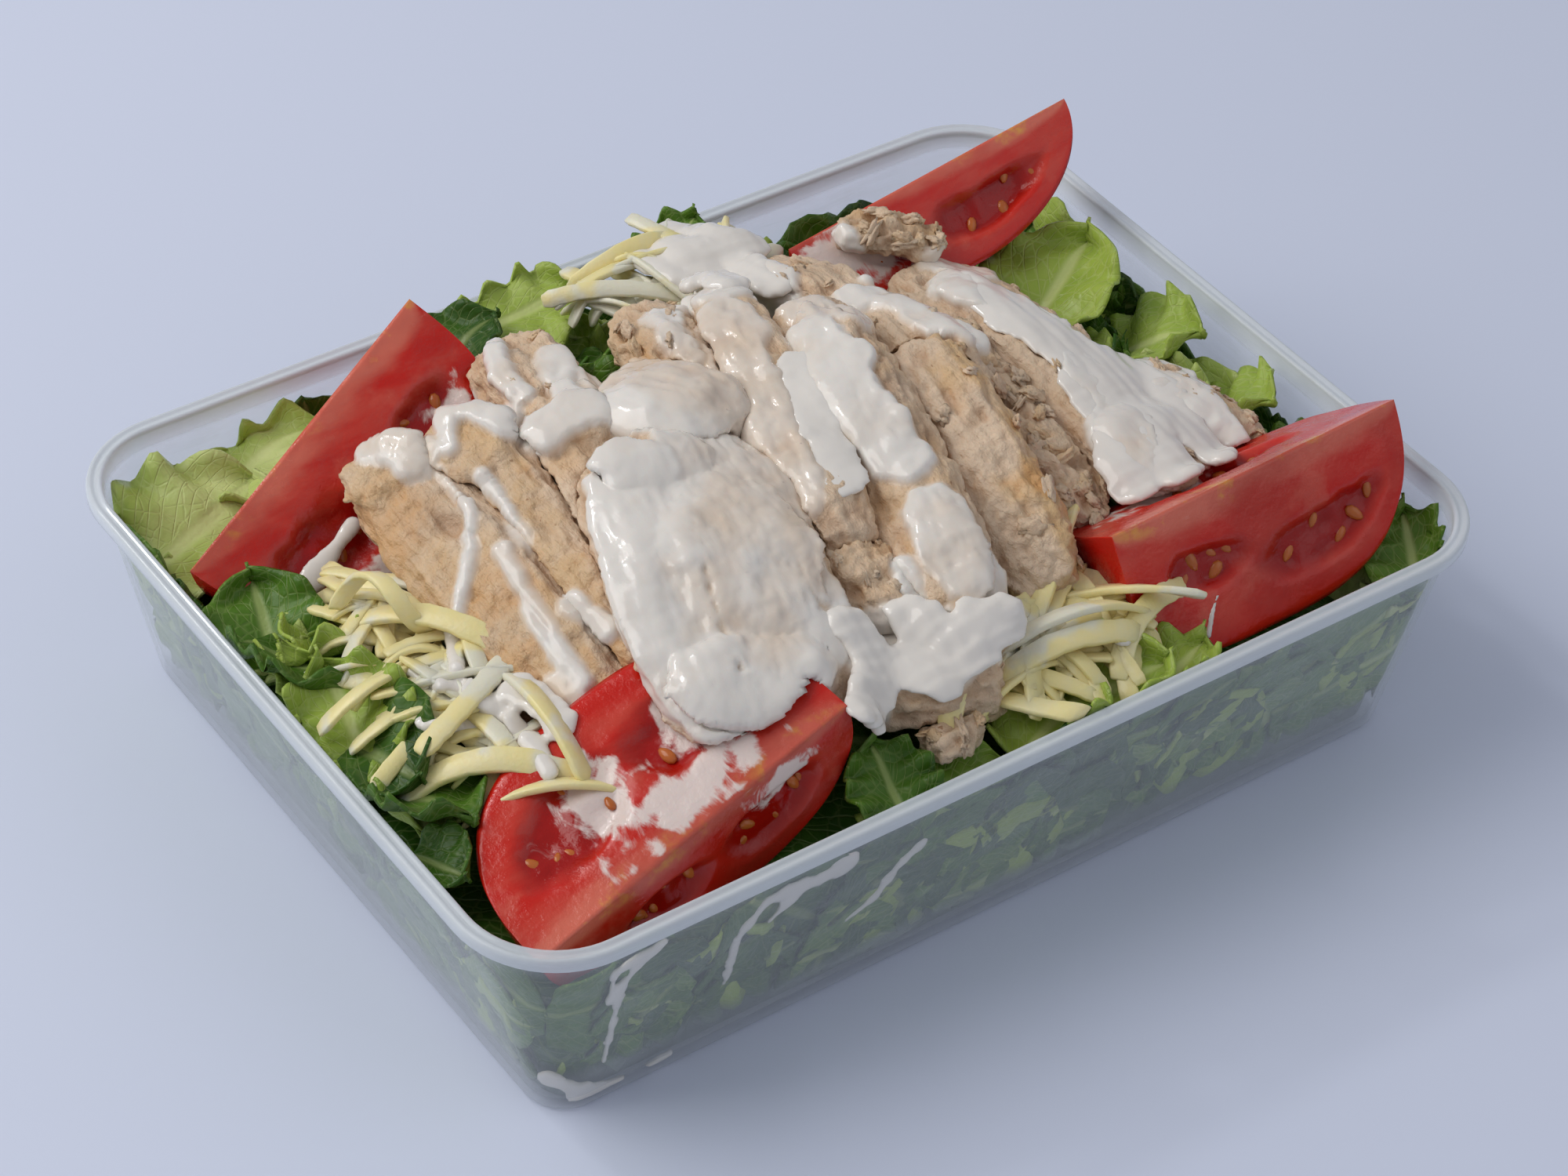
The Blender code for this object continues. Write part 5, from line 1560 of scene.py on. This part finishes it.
class SALAD_OT_lettuce(Operator):
    """Torn romaine leaves over and against a leafy core, coloured dark as painted shade"""
    bl_idname = "salad.lettuce"
    bl_label = "Lettuce"

    def execute(self, context):
        settings, tub = context.scene.salad_lettuce, context.scene.salad_tub
        mat = self.finish(settings)
        core = self.core(tub, mat)
        hand_over(core, "lettuce", "lettuce")
        shapes = [leaf_shape(f"leaf_{number}", number, flat=number >= LEAF_SHAPES // 2)
                  for number in range(LEAF_SHAPES)]
        for name, spots in (("leaves_on_top", self.top_spots()),
                            ("leaves_at_wall", self.wall_spots(tub))):
            obj = scatter(name, spots, shapes, mat)
            points = mesh_arrays(obj.data)[0]
            points[:, 2] = np.maximum(points[:, 2], LEAF_FLOOR + field(points * (1, 1, 0), 20, 4))
            inset = tub.wall / MM + settings.thickness / MM + 0.1
            set_points(obj.data, kept_inside(points, tub, inset))
            solid = obj.modifiers.new("thickness", "SOLIDIFY")
            solid.thickness = settings.thickness
            solid.offset = 0
            baked(obj)
            obj.data.shade_smooth()
            hand_over(obj, "lettuce")
        discard(shapes)
        return {"FINISHED"}

    def core(self, tub, mat):
        """Crumpled block that fills the tub under the leaves, darkened as painted shade."""
        rows, columns = CORE_GRID
        wall = tub.wall / MM
        verts = []
        for layer in range(2):
            for row in range(rows + 1):
                for column in range(columns + 1):
                    u, v = row / rows * 2 - 1, column / columns * 2 - 1
                    level = salad_level(u * 80, v * 58) - 2.5
                    height = level if layer else wall + 0.4
                    length, depth, radius = wall_section(tub, max(height, BASE_EDGE), wall + 1.6)
                    x, y = u * length / 2, v * depth / 2
                    over_x, over_y = abs(x) - (length / 2 - radius), abs(y) - (depth / 2 - radius)
                    if over_x > 0 and over_y > 0:
                        squeeze = max(over_x, over_y) / math.hypot(over_x, over_y)
                        x = math.copysign(length / 2 - radius + over_x * squeeze, x)
                        y = math.copysign(depth / 2 - radius + over_y * squeeze, y)
                    verts.append((x, y, height))
        verts = np.array(verts)
        half = (rows + 1) * (columns + 1)
        verts[half:, 2] += 2.2 * rough_field(verts[half:], 7.0, 3)
        top = grid_faces(rows + 1, columns + 1, start=half)
        bottom = [tuple(reversed(face)) for face in grid_faces(rows + 1, columns + 1)]
        border = [row * (columns + 1) for row in range(rows + 1)]
        border += [rows * (columns + 1) + column for column in range(1, columns + 1)]
        border += [row * (columns + 1) + columns for row in range(rows - 1, -1, -1)]
        border += [column for column in range(columns - 1, 0, -1)]
        sides = [(a, b, b + half, a + half) for a, b in zip(border, border[1:] + border[:1])]
        uvs = np.stack([verts[:, 0] / 30, verts[:, 1] / 30], 1)
        # Darkest leaf tone all over: green lettuce with painted shade deep in the heap
        obj = store("lettuce_core", verts, top + bottom + sides, mat, uvs,
                    {"tone": np.full(len(verts), 0.05)})
        faced_out(obj.data)
        return obj

    def spot(self, chance, place, matrix, length, tone, flat=False):
        half = LEAF_SHAPES // 2
        first = half if flat else 0
        return dict(place=place, matrix=matrix, size=length, tone=tone,
                    kind=chance.randint(first, first + half - 1))

    def top_spots(self):
        chance = random.Random(SEED + 50)
        spots = []
        for place, yaw, pitch, roll, length, tone in LEAVES:
            turn = Euler((math.radians(roll), -math.radians(pitch), math.radians(yaw))).to_matrix()
            spots.append(self.spot(chance, place, turn, length * 1.15, tone))
        blockers = tree_of("chicken", "tomato", "cheese")
        wedges = tree_of("tomato")
        while len(spots) < TOP_LEAVES:
            x, y = chance.uniform(-79, 79), chance.uniform(-57, 57)
            level = salad_level(x, y)
            roof = blockers.ray_cast(Vector((x, y, 80)), -UP)[0]
            near = blockers.find_nearest(Vector((x, y, level + 3)))[3]
            if (roof is not None and roof.z > level) or near < 2.0:
                continue
            if wedges.find_nearest(Vector((x, y, level + 3)))[3] < 6.5:
                continue
            turn = Euler((chance.uniform(-0.7, 0.7), chance.uniform(-0.6, 0.4),
                          chance.uniform(0, 6.28))).to_matrix()
            tone = chance.choice((0.05, 0.12, 0.2, 0.3, 0.45, 0.6, 0.7, 0.85))
            place = (x * 0.97, y * 0.96, level + chance.uniform(-0.5, 2.5))
            spots.append(self.spot(chance, place, turn, chance.uniform(11, 19), tone))
        return spots

    def wall_spots(self, tub):
        chance = random.Random(SEED + 60)
        spots = []
        for index in range(WALL_LEAVES):
            layer = index % 3
            height = chance.uniform(5, 27)
            length, depth, radius = wall_section(tub, height, tub.wall / MM + 0.8 + 0.8 * layer)
            run = chance.uniform(0, 2 * (length + depth))
            if run < length:
                x, y, normal = run - length / 2, -depth / 2, Vector((0, -1, 0))
            elif run < length + depth:
                x, y, normal = length / 2, run - length - depth / 2, Vector((1, 0, 0))
            elif run < 2 * length + depth:
                x, y, normal = run - length * 1.5 - depth, depth / 2, Vector((0, 1, 0))
            else:
                x, y, normal = -length / 2, run - 2 * length - depth * 1.5, Vector((-1, 0, 0))
            reach_x = length / 2 - WALL_MARGIN * abs(normal.y)
            reach_y = depth / 2 - WALL_MARGIN * abs(normal.x)
            x, y = max(-reach_x, min(reach_x, x)), max(-reach_y, min(reach_y, y))
            lean = (normal + Vector((0, 0, -0.25))).normalized()
            heading = Vector((chance.uniform(-1, 1) * abs(normal.y),
                              chance.uniform(-1, 1) * abs(normal.x), chance.uniform(-0.5, 0.5)))
            tone = chance.choice((0.0, 0.05, 0.12, 0.2, 0.28, 0.42, 0.65))
            spots.append(self.spot(chance, (x, y, height), frame_of(heading, lean),
                                   chance.uniform(13, 24), tone, flat=True))
        return spots

    def finish(self, settings):
        shading = Shading("lettuce")
        off = shading.calc("ABSOLUTE", shading.calc("SUBTRACT", shading.uv("Y"), 0.5))
        patch = shading.noise(70, 3)
        shade = shading.plus(shading.value("tone"),
                             shading.times(shading.calc("SUBTRACT", patch, 0.5), 0.5))
        slant = shading.plus(shading.times(shading.uv("X"), 46.0), shading.times(off, -70.0))
        ripple = shading.plus(slant, shading.times(shading.noise(45, 2), 9.0))
        side_veins = shading.band(shading.calc("SINE", ripple), 0.88, 1.0, 0.0, 0.5)
        net = shading.band(shading.cell_edges(420), 0.0, 0.10, 0.28, 0.0)
        rib = shading.band(off, 0.015, 0.075, 1.0, 0.0)
        veins = shading.calc("MAXIMUM", shading.calc("MAXIMUM", side_veins, net), rib)
        height = shading.add("SeparateXYZ", "Z", {0: shading.object_coords})
        base = shading.layers(
            shading.blend(shading.band(shade, 0.0, 0.35), settings.dark, settings.middle),
            (shading.band(shade, 0.35, 0.7), settings.lime),
            (shading.band(shade, 0.7, 1.0), settings.pale),
            (shading.times(veins, shading.band(shade, 0.1, 0.6, 0.28, 0.75)), settings.pale),
            # Painted shade: grey towards the base, for the shadowed hollow under the heap
            (shading.band(height, BASE_SHADE_TOP * 0.4 * MM, BASE_SHADE_TOP * MM, 0.85, 0.0), (0.27, 0.30, 0.29)))
        crinkle = shading.plus(shading.noise(300, 3), shading.times(veins, -0.5))
        shading.put(Base_Color=base, Roughness=shading.band(patch, 0.3, 0.7, 0.30, 0.48),
                    Normal=shading.bump(crinkle, 0.6, 0.7), Specular_IOR_Level=0.28)
        shading.glow(0.08, (0.001, 0.002, 0.0005))
        return shading.mat


# Panel and registration

class SALAD_PT_panel(Panel):
    """Sidebar panel that lists the salad's pieces and their settings"""
    bl_idname = "SALAD_PT_panel"
    bl_label = "Caesar Salad Tub"
    bl_space_type = "VIEW_3D"
    bl_region_type = "UI"
    bl_category = "Salad"

    def draw(self, context):
        for key in STEPS:
            box = self.layout.box()
            box.operator(f"salad.{key}")
            settings = getattr(context.scene, f"salad_{key}")
            for name in settings.bl_rna.properties.keys():
                if name not in {"rna_type", "name"}:
                    box.prop(settings, name)


# Settings and operator of each step, in the order in which the steps run
STEPS = {
    "stage": (SALAD_PG_stage, SALAD_OT_stage),
    "tub": (SALAD_PG_tub, SALAD_OT_tub),
    "tomato": (SALAD_PG_tomato, SALAD_OT_tomato),
    "chicken": (SALAD_PG_chicken, SALAD_OT_chicken),
    "cheese": (SALAD_PG_cheese, SALAD_OT_cheese),
    "lettuce": (SALAD_PG_lettuce, SALAD_OT_lettuce),
    "dressing": (SALAD_PG_dressing, SALAD_OT_dressing),
}


def register():
    for key, classes in STEPS.items():
        for cls in classes:
            bpy.utils.register_class(cls)
        setattr(bpy.types.Scene, f"salad_{key}", PointerProperty(type=classes[0]))
    bpy.utils.register_class(SALAD_PT_panel)


def unregister():
    bpy.utils.unregister_class(SALAD_PT_panel)
    for key, classes in STEPS.items():
        delattr(bpy.types.Scene, f"salad_{key}")
        for cls in classes:
            bpy.utils.unregister_class(cls)


def main():
    register()
    for key in STEPS:
        getattr(bpy.ops.salad, key)()


if __name__ == "__main__":
    main()
